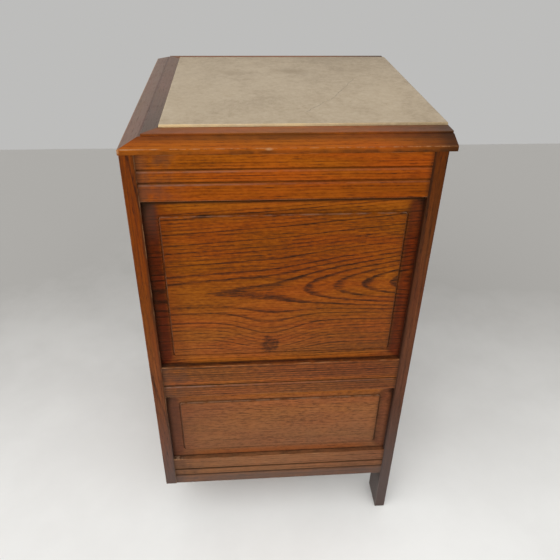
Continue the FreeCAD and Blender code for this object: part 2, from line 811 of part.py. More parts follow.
knob_screw_start = Vector(0, rail_front, knob_z)
knob_screw = joined(
    rod(knob_screw_start, -y_axis, knob_screw_radius, post_thickness + knob_screw_bite),
    rod(knob_screw_start, y_axis, screw_head_radius, screw_head_height),
)
knob_hole = rod(
    knob_screw_start, -y_axis, knob_screw_radius + screw_clearance, post_thickness + knob_screw_bite
)
add("drawer_knob", turned_knob().cut(knob_hole))
head_face = rail_front + screw_head_height
knob_screw_slot = block(
    span(0, slot_width), (head_face - slot_depth, head_face), span(knob_z, 2 * screw_head_radius)
)
add("drawer_knob_screw", knob_screw.cut(knob_screw_slot))
drawer_front = board(drawer_us, (0, post_thickness), drawer_front_zs, x_axis)
drawer_front = drawer_front.cut([scratched_line(drawer_us, case_top - drop) for drop in top_line_drops])
sockets = front_tails + mirrored(front_tails)
add("drawer_front", to_front(drawer_front).cut(sockets + [bottom_tongue, knob_hole]))

guide_xs = (drawer_side + drawer_running_gap, inner_side)
guide = block(guide_xs, board_ys, (top_rail_low, top_rail_low + guide_height))
add("drawer_guides", guide, guide.mirror(middle, x_axis))
stop_outer = drawer_inside - stop_inset
stop_xs = (stop_outer - stop_width, stop_outer)
stop_ys = (rail_front + stop_gap, rail_front + stop_gap + stop_depth)
drawer_stop = block(stop_xs, stop_ys, (top_rail_low, drawer_bottom_zs[0] - stop_headroom))
add("drawer_stops", drawer_stop, drawer_stop.mirror(middle, x_axis))

# Door

door_us = (-door_side, door_side)
door_inner_us = grown(door_us, -stile_width)
door_bottom_zs = (door_zs[0], door_zs[0] + door_rail_height)
door_top_zs = (door_zs[1] - door_rail_height, door_zs[1])
door_low_opening = (door_bottom_zs[1], middle_rail_low)
door_high_opening = (middle_rail_top, door_top_zs[0])


def door_rail(zs, line_drops, grooves):
    rail = board(door_inner_us, (0, post_thickness), zs, x_axis)
    rail = joined(rail, *rail_tenons(door_inner_us, zs, door_tenon, panel_recess, side_tenon_shoulder))
    cuts = [scratched_line(door_inner_us, zs[1] - drop) for drop in line_drops]
    return to_front(rail.cut(cuts + [panel_groove(door_inner_us, groove) for groove in grooves]))


above_low = (door_bottom_zs[1] - groove_depth, door_bottom_zs[1])
below_middle = (middle_rail_low, middle_rail_low + groove_depth)
above_middle = (middle_rail_top - groove_depth, middle_rail_top)
below_top = (door_top_zs[0], door_top_zs[0] + groove_depth)
add("door_bottom_rail", door_rail(door_bottom_zs, (), [above_low]))
add("door_middle_rail", door_rail(middle_zs, middle_line_drops, [below_middle, above_middle]))
add("door_top_rail", door_rail(door_top_zs, (), [below_top]))
door_margins = (low_field_top_margin, field_bottom_margin)
add("door_upper_panel", to_front(raised_panel(door_inner_us, door_high_opening, *door_margins)))
add("door_lower_panel", to_front(raised_panel(door_inner_us, door_low_opening, *door_margins)))

door_cuts = []
for zs in (door_bottom_zs, middle_zs, door_top_zs):
    door_cuts += rail_tenons(
        door_inner_us, zs, door_tenon, panel_recess, side_tenon_shoulder, tenon_clearance
    )
for zs in (door_low_opening, door_high_opening):
    door_cuts.append(panel_groove(grown(door_inner_us, groove_depth), grown(zs, groove_depth)))
door_cuts = [to_front(shape) for shape in door_cuts]
stile_ys = (front, rail_front)
hinge_stile = board((door_inner_us[1], door_us[1]), stile_ys, door_zs, z_axis)
lock_stile = board((door_us[0], door_inner_us[0]), stile_ys, door_zs, z_axis)
add("door_hinge_stile", hinge_stile.cut(door_cuts + door_leaf_seats + door_screws))
add("door_lock_stile", lock_stile.cut(door_cuts + lock_cuts + escutcheon_pins))

door_stop_y = rail_front + door_stop_gap
door_stop_zs = (divider_low - door_stop_drop, divider_low)
add("door_stop", block(front_us, (door_stop_y, door_stop_y + door_stop_depth), door_stop_zs))

for name, shape in pieces.items():
    shape.exportStep("parts/" + name + ".step")
print(len(pieces), "pieces written")
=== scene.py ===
import math
from functools import partial
import bpy
from mathutils import Matrix, Vector


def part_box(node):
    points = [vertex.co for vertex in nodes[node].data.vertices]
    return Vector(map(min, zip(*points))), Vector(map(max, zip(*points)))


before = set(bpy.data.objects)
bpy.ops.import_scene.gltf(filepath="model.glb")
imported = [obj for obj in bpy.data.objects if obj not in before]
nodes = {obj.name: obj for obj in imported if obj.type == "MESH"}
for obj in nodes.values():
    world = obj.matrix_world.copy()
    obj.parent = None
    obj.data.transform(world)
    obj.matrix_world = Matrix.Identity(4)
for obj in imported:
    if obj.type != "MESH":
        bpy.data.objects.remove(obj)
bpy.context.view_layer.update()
scene = bpy.context.scene


def mathStep(operation):  # a method that makes one math node
    def step(self, *others):
        return self.sheet.math(operation, self, *others)
    return step


class Wire:  # one value in a node tree, so that sums can be written plainly
    def __init__(self, sheet, socket):
        self.sheet = sheet
        self.socket = socket

    __add__ = __radd__ = mathStep("ADD")
    __sub__ = mathStep("SUBTRACT")
    __mul__ = __rmul__ = mathStep("MULTIPLY")
    __truediv__ = mathStep("DIVIDE")
    size = mathStep("ABSOLUTE")
    root = mathStep("SQRT")
    least = mathStep("MINIMUM")
    most = mathStep("MAXIMUM")
    fraction = mathStep("FRACT")
    whole = mathStep("FLOOR")

    def __rsub__(self, other):
        return self.sheet.math("SUBTRACT", other, self)

    def bell(self, centre, width):  # 1 at the centre, near 0 two widths away
        off = (self - centre) / width
        return self.sheet.math("EXPONENT", off * off * -1.0)

    def rise(self, low, high):  # 0 below low, 1 above high, smooth between
        node = self.sheet.add("MapRange", interpolation_type="SMOOTHSTEP")
        self.sheet.put(node.inputs["Value"], self)
        node.inputs["From Min"].default_value = low
        node.inputs["From Max"].default_value = high
        return Wire(self.sheet, node.outputs[0])

    def fall(self, low, high):
        return 1.0 - self.rise(low, high)

    def some(self, least, more):  # an amount that goes up from the least with this value
        return self * more + least


class Sheet:  # a material and its node tree
    noiseStep = (1.0, 0.7, 0.4)  # how a shift moves a noise along each axis

    def __init__(self, name):
        self.material = bpy.data.materials.new(name)
        self.material.use_nodes = True
        self.tree = self.material.node_tree
        self.shader = self.tree.nodes["Principled BSDF"]
        self.place = self.add("TexCoord").outputs["Object"]
        parts = self.add("SeparateXYZ")
        self.put(parts.inputs[0], self.place)
        self.x, self.y, self.z = [Wire(self, socket) for socket in parts.outputs]
        self.axis = {"x": self.x, "y": self.y, "z": self.z}

    def add(self, kind, **settings):
        node = self.tree.nodes.new("ShaderNode" + kind)
        for key, value in settings.items():
            setattr(node, key, value)
        return node

    def put(self, socket, value):
        value = value.socket if isinstance(value, Wire) else value
        if isinstance(value, bpy.types.NodeSocket):
            self.tree.links.new(value, socket)
        else:
            socket.default_value = value

    def math(self, operation, *values):
        node = self.add("Math", operation=operation)
        for socket, value in zip(node.inputs, values):
            self.put(socket, value)
        return Wire(self, node.outputs[0])

    def vector(self, *parts):
        node = self.add("CombineXYZ")
        for socket, part in zip(node.inputs, parts):
            self.put(socket, part)
        return node.outputs[0]

    def noise(self, vector, stretch=(1, 1, 1), shift=0.0, detail=2.0, roughness=0.5, twist=0.0):
        mapping = self.add("Mapping")
        self.put(mapping.inputs["Vector"], vector)
        mapping.inputs["Scale"].default_value = stretch
        mapping.inputs["Location"].default_value = [shift * step for step in self.noiseStep]
        node = self.add("TexNoise")
        self.put(node.inputs["Vector"], mapping.outputs[0])
        node.inputs["Scale"].default_value = 1.0
        node.inputs["Detail"].default_value = detail
        node.inputs["Roughness"].default_value = roughness
        node.inputs["Distortion"].default_value = twist
        return Wire(self, node.outputs[0])

    def speckle(self, scale, *settings):  # the same noise in all directions
        return self.noise(self.place, (scale, scale, scale), *settings)

    def dice(self, value):  # a steady random number for each whole value
        node = self.add("TexWhiteNoise", noise_dimensions="1D")
        self.put(node.inputs["W"], value)
        return Wire(self, node.outputs["Value"])

    def ramp(self, value, stops):
        node = self.add("ValToRGB")
        self.put(node.inputs[0], value)
        elements = node.color_ramp.elements
        while len(elements) < len(stops):
            elements.new(0.5)
        for element, (position, colour) in zip(elements, stops):
            element.position = position
            element.color = (*colour, 1.0)
        return node.outputs[0]

    def mix(self, factor, first, second, blend="MIX"):
        node = self.add("Mix", data_type="RGBA", blend_type=blend)
        self.put(node.inputs[0], factor)
        for socket, value in ((node.inputs[6], first), (node.inputs[7], second)):
            self.put(socket, (*value, 1.0) if isinstance(value, tuple) else value)
        return node.outputs[2]

    def bump(self, height, distance, strength=1.0):
        node = self.add("Bump")
        self.put(node.inputs["Height"], height)
        node.inputs["Distance"].default_value = distance
        node.inputs["Strength"].default_value = strength
        self.put(self.shader.inputs["Normal"], node.outputs[0])

    def paint(self, colour, roughness, specular=0.5):
        self.put(self.shader.inputs["Base Color"], colour)
        self.put(self.shader.inputs["Roughness"], roughness)
        self.put(self.shader.inputs["Specular IOR Level"], specular)

    def within(self, name, low, high):  # distance in from the nearer of two planes across an axis
        return (self.axis[name] - low).least(high - self.axis[name])


def dress(node, sheet):
    slots = nodes[node].data.materials
    slots.clear()
    slots.append(sheet.material)


def past(start, steps):  # places a few steps on from a start
    return [start + step for step in steps]


# Sizes that the finishes need, taken from the frame
case = {
    "side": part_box("right_front_post")[1].x,
    "railFront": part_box("right_front_post")[1].y,
    "railBack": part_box("right_back_post")[0].y,
    "innerSide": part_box("bottom_board")[1].x,
    "top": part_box("right_front_post")[1].z,
}

# Stained oak. Pairs named as amounts are the least and what a noise adds to it
oakLook = {
    "tones": (
        (0.0, (0.018, 0.0065, 0.0042)),
        (0.3, (0.057, 0.0145, 0.0052)),
        (0.62, (0.158, 0.0350, 0.0026)),
        (1.0, (0.280, 0.0710, 0.0050)),
    ),
    "filmAndSheenTones": (  # under the dull film and its painted reflection of the pale floor, both thickening towards the floor
        (0.0, (0.028, 0.0130, 0.0070)),
        (0.62, (0.142, 0.0715, 0.037)),
        (1.0, (0.222, 0.114, 0.060)),
    ),
    "olive": (0.95, 1.06, 0.87),
    "olivePatch": (0.45, 0.68),
    "red": (1.03, 0.92, 1.0),
    "redPatch": (0.34, 0.52),
    "dirt": (0.013, 0.0055, 0.0040),
    "wear": (0.36, 0.19, 0.09),
    "wax": (0.175, 0.096, 0.072),
    "bloom": (0.250, 0.150, 0.095),
    "dust": (0.064, 0.053, 0.053),
    "paleDustAndLight": (0.098, 0.083, 0.080),
    "soak": (0.42, 0.175, 0.34),
    "smear": (0.058, 0.027, 0.0190),
    "inside": (0.215, 0.112, 0.046),
    "toneSwing": 0.5,
    "fibreSwing": 0.8,
    "ringDepth": 0.42,
    "knotDepth": 0.42,
    "patchScale": 38,
    "filmAndSheenLow": 0.08,
    "filmAndSheenAmount": (0.7, 0.6),
    "filmAndSheenHollow": 0.5,
    "roughness": {"plain": 0.42, "patch": 0.18, "pore": 0.2, "film": 0.25},
    "relief": {"fibre": 0.35, "pore": 0.65, "ring": 0.25, "depth": 0.0005, "strength": 0.5},
}
oakCoats = (  # marks on a board, in the order in which they lie on it
    ("soaks", "soak", "MULTIPLY"), ("smears", "smear", "MIX"), ("waxes", "wax", "MIX"),
    ("stains", "dirt", "MIX"), ("blooms", "bloom", "MIX"), ("dusts", "dust", "MIX"),
    ("paleDustsAndLight", "paleDustAndLight", "MIX"), ("rubs", "wear", "MIX"),
)
oakStrands = {  # stretch along, across and into the board, then shift, detail and roughness
    "slow": ((2.6, 12, 12), 0.0, 2.0, 0.5),
    "quick": ((11, 46, 46), 3.1, 2.0, 0.5),
    "fibre": ((13, 520, 520), 5.7, 4.0, 0.62),
    "splinter": ((19, 230, 230), 7.9, 3.0, 0.6),
    "ragged": ((85, 330, 330), 8.8, 2.0, 0.6),
    "pore": ((75, 900, 900), 9.3, 2.0, 0.5),
    "tone": ((3, 9, 9), 12.9, 3.0, 0.5),
    "broken": ((9, 300, 300), 15.3, 3.0, 0.5),
    "dash": ((6, 300, 300), 18.1, 3.0, 0.6),
    "hue": ((7, 42, 42), 21.3, 2.0, 0.5),
    "mottle": ((120, 330, 330), 24.7, 3.0, 0.65),
}
ringLook = {
    "slowBend": 2.0, "quickBend": 0.5, "unevenStep": 0.31,
    "fibre": 0.25, "ragged": 0.16,  # how torn a ring's edges are
    "start": 0.12, "rise": 0.12, "hold": 0.15,  # early wood, as parts of a ring
    "faintest": 0.15, "gaps": (0.32, 0.6), "gapAmount": (0.7, 0.3),
    "pore": (0.54, 0.68), "poreAmount": (0.4, 0.6), "dash": (0.48, 0.66), "dashAmount": (0.6, 0.4),
}
usualBoard = {
    "seed": 0.0, "wobble": 0.004, "lean": 0.0, "tilt": 0.0, "uneven": 1.2, "phase": 0.0, "first": 0,
    "splinter": 0.4, "early": 0.57, "contrast": 1.0, "bright": 0.66, "flecks": 0.24, "streaks": 0.20,
    "mottle": 0.3, "hollowsAndLitMargin": (), "hollowAndLitLift": 0.20, "film": 0.6, "filmAndSheenTop": 0.56,
    "tint": (1.0, 1.0, 1.0), "specular": 0.17, "sheen": (1.0, 0.55, 0.16),
}


def oakFigure(sheet, board):
    # Growth rings about a pith line beside or under the board, with pores and fibres along the grain
    board = {**usualBoard, **board}
    seed, wobble = board["seed"], board["wobble"]
    along, across, depth = [sheet.axis[name] for name in board["grain"]]
    flow = sheet.vector(along, across, depth)

    def strand(name):
        stretch, shift, detail, roughness = oakStrands[name]
        return sheet.noise(flow, stretch, seed + shift, detail, roughness)

    fibre = strand("fibre")
    bent = across + (strand("slow") - 0.5) * (ringLook["slowBend"] * wobble)
    bent = bent + (strand("quick") - 0.5) * (ringLook["quickBend"] * wobble)
    if "knot" in board:
        bent = bent + knotDip(board["knot"], along, across)
    pithAcross, pithDepth = board["pith"]
    away = bent - (along * board["lean"] + pithAcross)
    under = depth + along * board["tilt"] - pithDepth
    if "dive" in board:  # the pith comes up towards the face past a point along the board
        slope, start, soft = board["dive"]
        under = under - sheet.math("SMOOTH_MAX", along - start, 0.0, soft) * slope
    count = (away * away + under * under).root() / board["ring"]
    steps = sheet.vector(count * ringLook["unevenStep"], seed, 0.0)
    uneven = sheet.noise(steps, shift=seed, detail=1.0)
    count = count + (uneven - 0.5) * board["uneven"] + board["phase"]
    count = count + (fibre - 0.5) * ringLook["fibre"]
    count = count + (strand("splinter") - 0.5) * board["splinter"]
    count = count + (strand("ragged") - 0.5) * ringLook["ragged"]
    count = count + (ringLook["start"] + board["first"])
    part = count.fraction()
    early = part.rise(0.0, ringLook["rise"]) * part.fall(ringLook["hold"], board["early"])
    strength = sheet.dice(count.whole()).some(ringLook["faintest"], 1.0 - ringLook["faintest"])
    ring = early * strength * strand("broken").rise(*ringLook["gaps"]).some(*ringLook["gapAmount"])
    if "clear" in board:  # clean wood inside the innermost flame
        (atAlong, atAcross), (long, high), amount = board["clear"]
        ring = ring * (1.0 - along.bell(atAlong, long) * across.bell(atAcross, high) * amount)
    pore = strand("pore").rise(*ringLook["pore"]) * early.some(*ringLook["poreAmount"])
    dash = strand("dash").rise(*ringLook["dash"]) * early.some(*ringLook["dashAmount"])
    return {"ring": ring, "pore": pore, "dash": dash, "fibre": fibre, "strand": strand,
            "along": along, "across": across}


def knotDip(knot, along, across, above=(0.012, 0.105), below=(-0.035, 0.005)):
    # The grain sags towards the knot from above
    side, height = knot["at"]
    dip = along.bell(side, knot["reach"]) * across.fall(*past(height, above))
    return dip * across.rise(*past(height, below)) * knot["sag"]


def knotSpot(sheet, knot, figure, scale=95, warpSwing=1.6, fibreSwing=0.4, bark=(0.60, 0.26),
             barkMost=0.65, eye=(0.05, 0.4), eyeMost=0.5, halo=(0.5, 1.4), haloMost=0.25):
    off = (figure["along"] - knot["at"][0]) / knot["size"][0]
    up = (figure["across"] - knot["at"][1]) / knot["size"][1]
    warp = sheet.speckle(scale, 2.0)
    far = (off * off + up * up).root() + (figure["fibre"] - 0.5) * fibreSwing + (warp - 0.5) * warpSwing
    return far.bell(*bark) * barkMost + far.fall(*eye) * eyeMost + far.fall(*halo) * haloMost


def oakMaterial(name, board):
    sheet = Sheet(name)
    board = {**usualBoard, **board}
    figure = oakFigure(sheet, board)
    strand, fibre, pore, ring = [figure[part] for part in ("strand", "fibre", "pore", "ring")]
    shade = (strand("tone") - 0.5) * oakLook["toneSwing"] + (fibre - 0.5) * oakLook["fibreSwing"]
    shade = shade + board["bright"] - ring * (oakLook["ringDepth"] * board["contrast"])
    shade = shade - pore * board["flecks"] - figure["dash"] * board["streaks"]
    shade = shade + (strand("mottle") - 0.5) * board["mottle"]
    liftedPlaces = [liftedPlace(sheet) for liftedPlace in board["hollowsAndLitMargin"]]  # places lifted lighter: hollows that rubbing and sun don't reach, and a top margin as painted light
    for mask in liftedPlaces:
        shade = shade + mask * board["hollowAndLitLift"]
    if "knot" in board:
        shade = shade - knotSpot(sheet, board["knot"], figure) * oakLook["knotDepth"]
    colour = sheet.ramp(shade, oakLook["tones"])
    hue = strand("hue")
    colour = sheet.mix(hue.rise(*oakLook["olivePatch"]), colour, oakLook["olive"], "MULTIPLY")
    colour = sheet.mix(hue.fall(*oakLook["redPatch"]), colour, oakLook["red"], "MULTIPLY")

    patch = sheet.speckle(oakLook["patchScale"], board["seed"] + 1.7, 3.0, 0.6)
    # Dull film and painted reflection of the pale floor, greyer towards the floor
    film = sheet.z.fall(oakLook["filmAndSheenLow"], board["filmAndSheenTop"])
    film = film * patch.some(*oakLook["filmAndSheenAmount"]) * board["film"]
    for mask in liftedPlaces:
        film = film * (1.0 - mask * oakLook["filmAndSheenHollow"])
    colour = sheet.mix(film, colour, sheet.ramp(shade, oakLook["filmAndSheenTones"]))
    colour = sheet.mix(1.0, colour, board["tint"], "MULTIPLY")
    for marks, paint, blend in oakCoats:
        for mark in board.get(marks, ()):
            colour = sheet.mix(mark(sheet, figure, patch), colour, oakLook[paint], blend)
    if "inside" in board:  # unstained faces that only show with the door or drawer open
        bare = sheet.mix(shade, oakLook["dirt"], oakLook["inside"])
        colour = sheet.mix(board["inside"](sheet), colour, bare)

    rough, relief = oakLook["roughness"], oakLook["relief"]
    roughness = (patch - 0.5) * rough["patch"] + pore * rough["pore"] + film * rough["film"]
    sheet.paint(colour, roughness + rough["plain"], board["specular"])
    sheet.shader.inputs["Specular Tint"].default_value = (*board["sheen"], 1.0)
    height = fibre * relief["fibre"] - pore * relief["pore"] - ring * relief["ring"]
    sheet.bump(height, relief["depth"], relief["strength"])
    return sheet


# Marks that several boards share
def boxArris(node, first, second, sheet, figure, patch, reach=0.0015, amount=0.42, start=0.0003,
             spots=(0.42, 0.68)):
    # Worn light along the long arrises of a board, seen in the two axes across it
    low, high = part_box(node)
    edge = sheet.within(first, getattr(low, first), getattr(high, first))
    edge = edge.most(sheet.within(second, getattr(low, second), getattr(high, second)))
    return edge.fall(start, reach) * patch.rise(*spots) * amount


def sideInside(hand, face, sheet, bare=(0.0005, 0.0015)):  # the face that looks into the case
    return (sheet.x * hand).fall(*past(face * hand, bare))


def frontInside(face, sheet, bare=(-0.0015, -0.0005)):  # the back of a front board
    return sheet.y.rise(*past(face, bare))


def anyLine(heights, shape):
    mask = shape(heights[0])
    for height in heights[1:]:
        mask = mask.most(shape(height))
    return mask


def scratchDirtAndShade(heights, sheet, figure, patch, under=0.0006, amount=1.0, edge=(0.0009, 0.0014),
                along=(-0.12, 0.12), near=0.15, swing=0.4, least=0.45):
    # Dirt and painted shade at the bottom of scratched lines, and on their lower slopes
    def line(height):
        return (sheet.z - (height - under)).size().fall(edge[0], edge[1] + under)
    near = figure["along"].fall(*along) * near
    return anyLine(heights, line) * (patch * swing + near + least) * amount


def scratchWax(heights, strong, sheet, figure, patch, amount=0.9, drop=0.0033, width=0.0010,
               along=(0.33, 0.67), spots=(0.25, 0.6)):
    # Pale wax on the lower slope of the lines, most of it towards one end
    mask = anyLine(heights, lambda height: sheet.z.bell(height - drop, width))
    return mask * figure["along"].fall(*strong).some(*along) * patch.rise(*spots) * amount


def scratchHollow(heights, sheet, above=0.0036, width=0.0028):
    # The wood dips towards each line from above, and keeps its colour there
    return anyLine(heights, lambda height: sheet.z.bell(height + above, width))


# Side panels: raised field in a sunk margin, the grain running front to back
panelFacts = {
    "tongue": 0.007, "margin": 0.0195, "bottomMargin": 0.0175, "corner": 0.004, "quirk": 0.0014,
    "slope": 0.0016,
}
panelRows = {  # by the panel's row: margin above the field, how soaked the ends are, how low polish runs
    "upper": {"top": 0.024, "soaked": 1.0, "smeared": 0.075},
    "lower": {"top": 0.020, "soaked": 0.6, "smeared": 0.26},
}


def fieldOf(node, plane, top):
    # Middle and half size of a panel's raised field
    low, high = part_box(node)
    first = (getattr(low, plane) + getattr(high, plane)) / 2
    half = (getattr(high, plane) - getattr(low, plane)) / 2 - panelFacts["tongue"] - panelFacts["margin"]
    bottom = low.z + panelFacts["tongue"] + panelFacts["bottomMargin"]
    upper = high.z - panelFacts["tongue"] - top
    return (first, (bottom + upper) / 2), (half, (upper - bottom) / 2)


def panelAge(node, plane, top, soaked, smeared, dark=0.0):
    low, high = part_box(node)
    centre, half = fieldOf(node, plane, top)
    corner, tongue, margin = [panelFacts[name] for name in ("corner", "tongue", "margin")]

    def fieldEdge(sheet):  # distance out from the field's round-cornered outline
        first = (sheet.axis[plane] - centre[0]).size() - (half[0] - corner)
        second = (sheet.z - centre[1]).size() - (half[1] - corner)
        outA, outB = first.most(0.0), second.most(0.0)
        return (outA * outA + outB * outB).root() + first.most(second).least(0.0) - corner

    def endWays(sheet):
        return sheet.within(plane, getattr(low, plane), getattr(high, plane)) - tongue

    def levelWays(sheet):
        return sheet.within("z", low.z, high.z) - tongue

    def topWays(sheet):
        return high.z - tongue - sheet.z

    def mitredEnds(sheet, slant=0.9, edge=(-0.012, 0.002)):
        return (levelWays(sheet) - endWays(sheet) * slant).rise(*edge)

    def margins(sheet, figure, patch, edge=(-0.006, 0.002), amount=(0.82, 0.2), back=(0.05, 0.17),
                less=0.12):
        # The sunk ends drink more stain, less so above and below
        ends = endWays(sheet).fall(*past(margin, edge))
        back = 1.0 - sheet.axis[plane].rise(*back) * less
        return ends * mitredEnds(sheet) * patch.some(*amount) * soaked * back

    def nearSoak(sheet, figure, patch, reach=(-0.004, 0.030), amount=(0.3, 0.5), most=0.9):
        # Stain that has crept from the first end into the field
        ways = sheet.axis[plane] - (centre[0] - half[0])
        return ways.fall(*reach) * patch.some(*amount) * soaked * most

    def upperLitMargin(sheet, down=(0.010, 0.022), ends=(0.012, 0.032)):
        # Painted light: the top margin under the rail, lifted lighter against the rail's shade
        return topWays(sheet).fall(*down) * endWays(sheet).rise(*ends)

    def lowerHollow(sheet, up=(0.008, 0.017), ends=(0.016, 0.055)):
        return (sheet.z - low.z - tongue).fall(*up) * endWays(sheet).rise(*ends)

    def cornerDirtAndShade(sheet, figure, patch, slant=0.6, reach=(0.003, 0.022), amount=(0.6, 0.5)):
        # Dirt and painted shade, darker into the upper corners of the sunk margin
        return (endWays(sheet) + topWays(sheet) * slant).fall(*reach) * patch.some(*amount)

    def cornerSmear(sheet, figure, patch, ends=(0.012, 0.022), start=0.018, amount=(0.35, 0.5),
                    along=(0.25, 0.75)):
        # Old polish left in the upper corners, most of it at the first end
        first = sheet.axis[plane].fall(centre[0], centre[0] + half[0]).some(*along)
        corners = endWays(sheet).fall(*ends) * topWays(sheet).fall(start, smeared)
        return corners * patch.some(*amount) * soaked * first

    def nearSmear(sheet, figure, patch, short=0.02, edge=0.03, most=0.9, amount=(0.8, 0.4)):
        # Darker towards the first end and towards the bottom
        first = sheet.axis[plane].fall(centre[0] - half[0], centre[0] - short)
        level = sheet.z.fall(low.z + edge, high.z - edge) * most
        return first.most(level) * patch.some(*amount) * dark

    def farSmudge(sheet, figure, patch, beyond=0.0008, width=0.0058, amount=(0.1, 0.6)):
        # Dark wax smeared over one end of the field
        smudge = (sheet.axis[plane] - centre[0] - half[0]).bell(beyond, width)
        return smudge * mitredEnds(sheet) * patch.some(*amount)

    def frameDirtAndShade(sheet, figure, patch, reach=(0.0, 0.0075), amount=(0.5, 0.5), most=0.6,
                  under=(0.0050, 0.0084), edge=(0.0003, 0.0032), levelMost=0.85):
        # Dirt and painted shade along the frame: darker near the ends and edges, with a painted shadow strip
        # under the rail
        ends = endWays(sheet).fall(*reach) * patch.some(*amount) * most
        level = levelWays(sheet).fall(*edge).most(topWays(sheet).fall(*under))
        return ends.most(level * levelMost)

    def quirkDirtAndShade(sheet, figure, patch, place=0.45, width=0.0009, wider=0.002, more=0.7, swing=0.3,
                  least=0.2):
        # Dirt and painted shade in the quirk round the raised field
        level = (1.0 - mitredEnds(sheet)) * (dark * more)
        line = fieldEdge(sheet).bell(panelFacts["quirk"] * place, width + dark * wider)
        return line * (patch * swing + level + least)

    def crownWax(sheet, figure, patch, scale=62, place=0.5, width=0.0005, spots=(0.30, 0.62), amount=0.55):
        streak = sheet.speckle(scale, 3.3, 4.0, 0.65)
        line = fieldEdge(sheet).bell(-panelFacts["slope"] * place, width)
        return line * streak.rise(*spots) * amount

    return {
        "soaks": (margins, nearSoak),
        "smears": (cornerSmear, nearSmear) if dark else (cornerSmear,),
        "stains": (frameDirtAndShade, quirkDirtAndShade, cornerDirtAndShade, farSmudge),
        "blooms": (crownWax,),
        "hollowsAndLitMargin": (upperLitMargin, lowerHollow),
    }


sidePanels = {
    "right_upper_panel": {
        "pith": (0.4995, 0.2245 - 0.0533), "lean": 0.047, "ring": -0.00477, "uneven": 0.0, "tilt": -0.013,
        "dive": (0.105, 0.012, 0.04), "wobble": 0.0035, "phase": -0.66, "early": 0.50, "seed": 2.0,
        "splinter": 0.15, "first": 86, "streaks": 0.14, "bright": 0.695, "contrast": 1.25, "mottle": 0.8,
        "flecks": 0.32, "clear": ((-0.008, 0.4985), (0.040, 0.008), 0.85),
        "knot": {"at": (-0.004, 0.4017), "size": (0.0130, 0.0150), "reach": 0.055, "sag": 0.027},
    },
    "right_lower_panel": {
        "pith": (0.02, 0.17), "ring": 0.0030, "wobble": 0.0022, "seed": 7.0, "contrast": 1.1, "bright": 0.92,
        "film": 0.66, "streaks": 0.18, "flecks": 0.48, "mottle": 1.2, "hollowAndLitLift": 0.04, "dark": 0.40,
    },
    "left_upper_panel": {
        "pith": (0.515, -0.165), "lean": -0.06, "ring": 0.0050, "uneven": 0.6, "tilt": -0.05,
        "wobble": 0.006, "early": 0.62, "seed": 11.0, "contrast": 1.15,
    },
    "left_lower_panel": {
        "pith": (0.36, -0.12), "ring": 0.0034, "wobble": 0.003, "seed": 15.0, "contrast": 1.1, "film": 0.65,
    },
}
for node, board in sidePanels.items():
    row = panelRows["upper" if "upper" in node else "lower"]
    hand = 1 if node.startswith("right") else -1
    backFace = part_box(node)[0 if hand > 0 else 1].x
    age = panelAge(node, "y", row["top"], row["soaked"], row["smeared"], board.get("dark", 0.0))
    inside = partial(sideInside, hand, backFace)
    dress(node, oakMaterial(node, {"grain": "yzx", **board, **age, "inside": inside}))
print("side panels done")

# Side rails: straight grain, scratched lines, dirt at the joints
sideRails = {
    "top_rail": {
        "lines": (0.019, 0.036), "ring": 0.0031, "bright": 0.915, "wobble": 0.002, "contrast": 0.8,
        "streaks": 0.10, "flecks": 0.36, "mottle": 0.75, "tint": (1.01, 0.92, 0.80), "wax": 0.65,
        "lineDirtAndShade": 0.72, "lowSoak": 0.18,
    },
    "middle_rail": {
        "lines": (0.037,), "ring": 0.0035, "bright": 0.65, "wobble": 0.003, "contrast": 1.55,
        "streaks": 0.14, "flecks": 0.36, "mottle": 0.8, "film": 0.68, "wax": 0.9, "hollowAndLitLift": 0.28,
    },
    "bottom_rail": {
        "lines": (0.024, 0.039), "ring": 0.0030, "bright": 0.75, "wobble": 0.002, "contrast": 1.3,
        "streaks": 0.12, "flecks": 0.30, "mottle": 0.55, "film": 0.78, "wax": 0.4, "under": 0.0015,
    },
}
usualRail = {
    "grain": "yzx", "under": 0.0006, "lineDirtAndShade": 1.0, "lowSoak": 0.0, "waxEnds": (-0.15, 0.05),
    "pithBelow": 0.17, "pithOut": 0.12, "firstSeed": 21.0, "seedStep": 4,
}


def onLedge(node, sheet, drop=(-0.0008, -0.0003)):  # the upper edge of a rail
    return sheet.z.rise(*past(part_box(node)[1].z, drop))


def ledgeGrime(node, hand, sheet, figure, patch, reach=0.0016, spots=(0.4, 0.7), amount=(0.1, 0.4)):
    # Dust and old polish behind a rail's front arris
    behind = (sheet.x * hand).fall(case["side"] - reach, case["side"] - reach * 0.5)
    return behind * onLedge(node, sheet) * patch.rise(*spots).some(*amount)


def ledgeLint(node, sheet, figure, patch, scale=260, spots=(0.40, 0.58), at=0.008, width=0.007, amount=0.8):
    # Pale lint and splinters caught by the front post
    torn = sheet.speckle(scale, 1.4, 3.0, 0.6).rise(*spots)
    return onLedge(node, sheet) * sheet.y.bell(case["railFront"] + at, width) * torn * amount


def railSmear(sheet, figure, patch, joint=(0.004, 0.022), jointMost=0.5, near=(0.01, 0.07),
              spots=(0.35, 0.65), nearMost=0.65):
    # Old polish dragged along a side rail from its front post
    joint = sheet.y.fall(*past(case["railFront"], joint)) * jointMost
    near = sheet.y.fall(*past(case["railFront"], near)) * patch.rise(*spots) * nearMost
    return joint.most(near)


def railSoak(sheet, figure, patch, amount=0.26):  # darker towards the back
    return sheet.y.rise(0.0, case["railBack"]) * amount


def lowSoak(height, amount, sheet, figure, patch, drop=(-0.006, -0.001)):  # darker below the last line
    return sheet.z.fall(*past(height, drop)) * amount


def underDust(node, sheet, figure, patch, up=(0.012, 0.024), amount=(0.3, 0.5)):
    # Grey from mopping, along the bottom of a low rail
    return sheet.z.fall(*past(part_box(node)[0].z, up)) * patch.some(*amount)


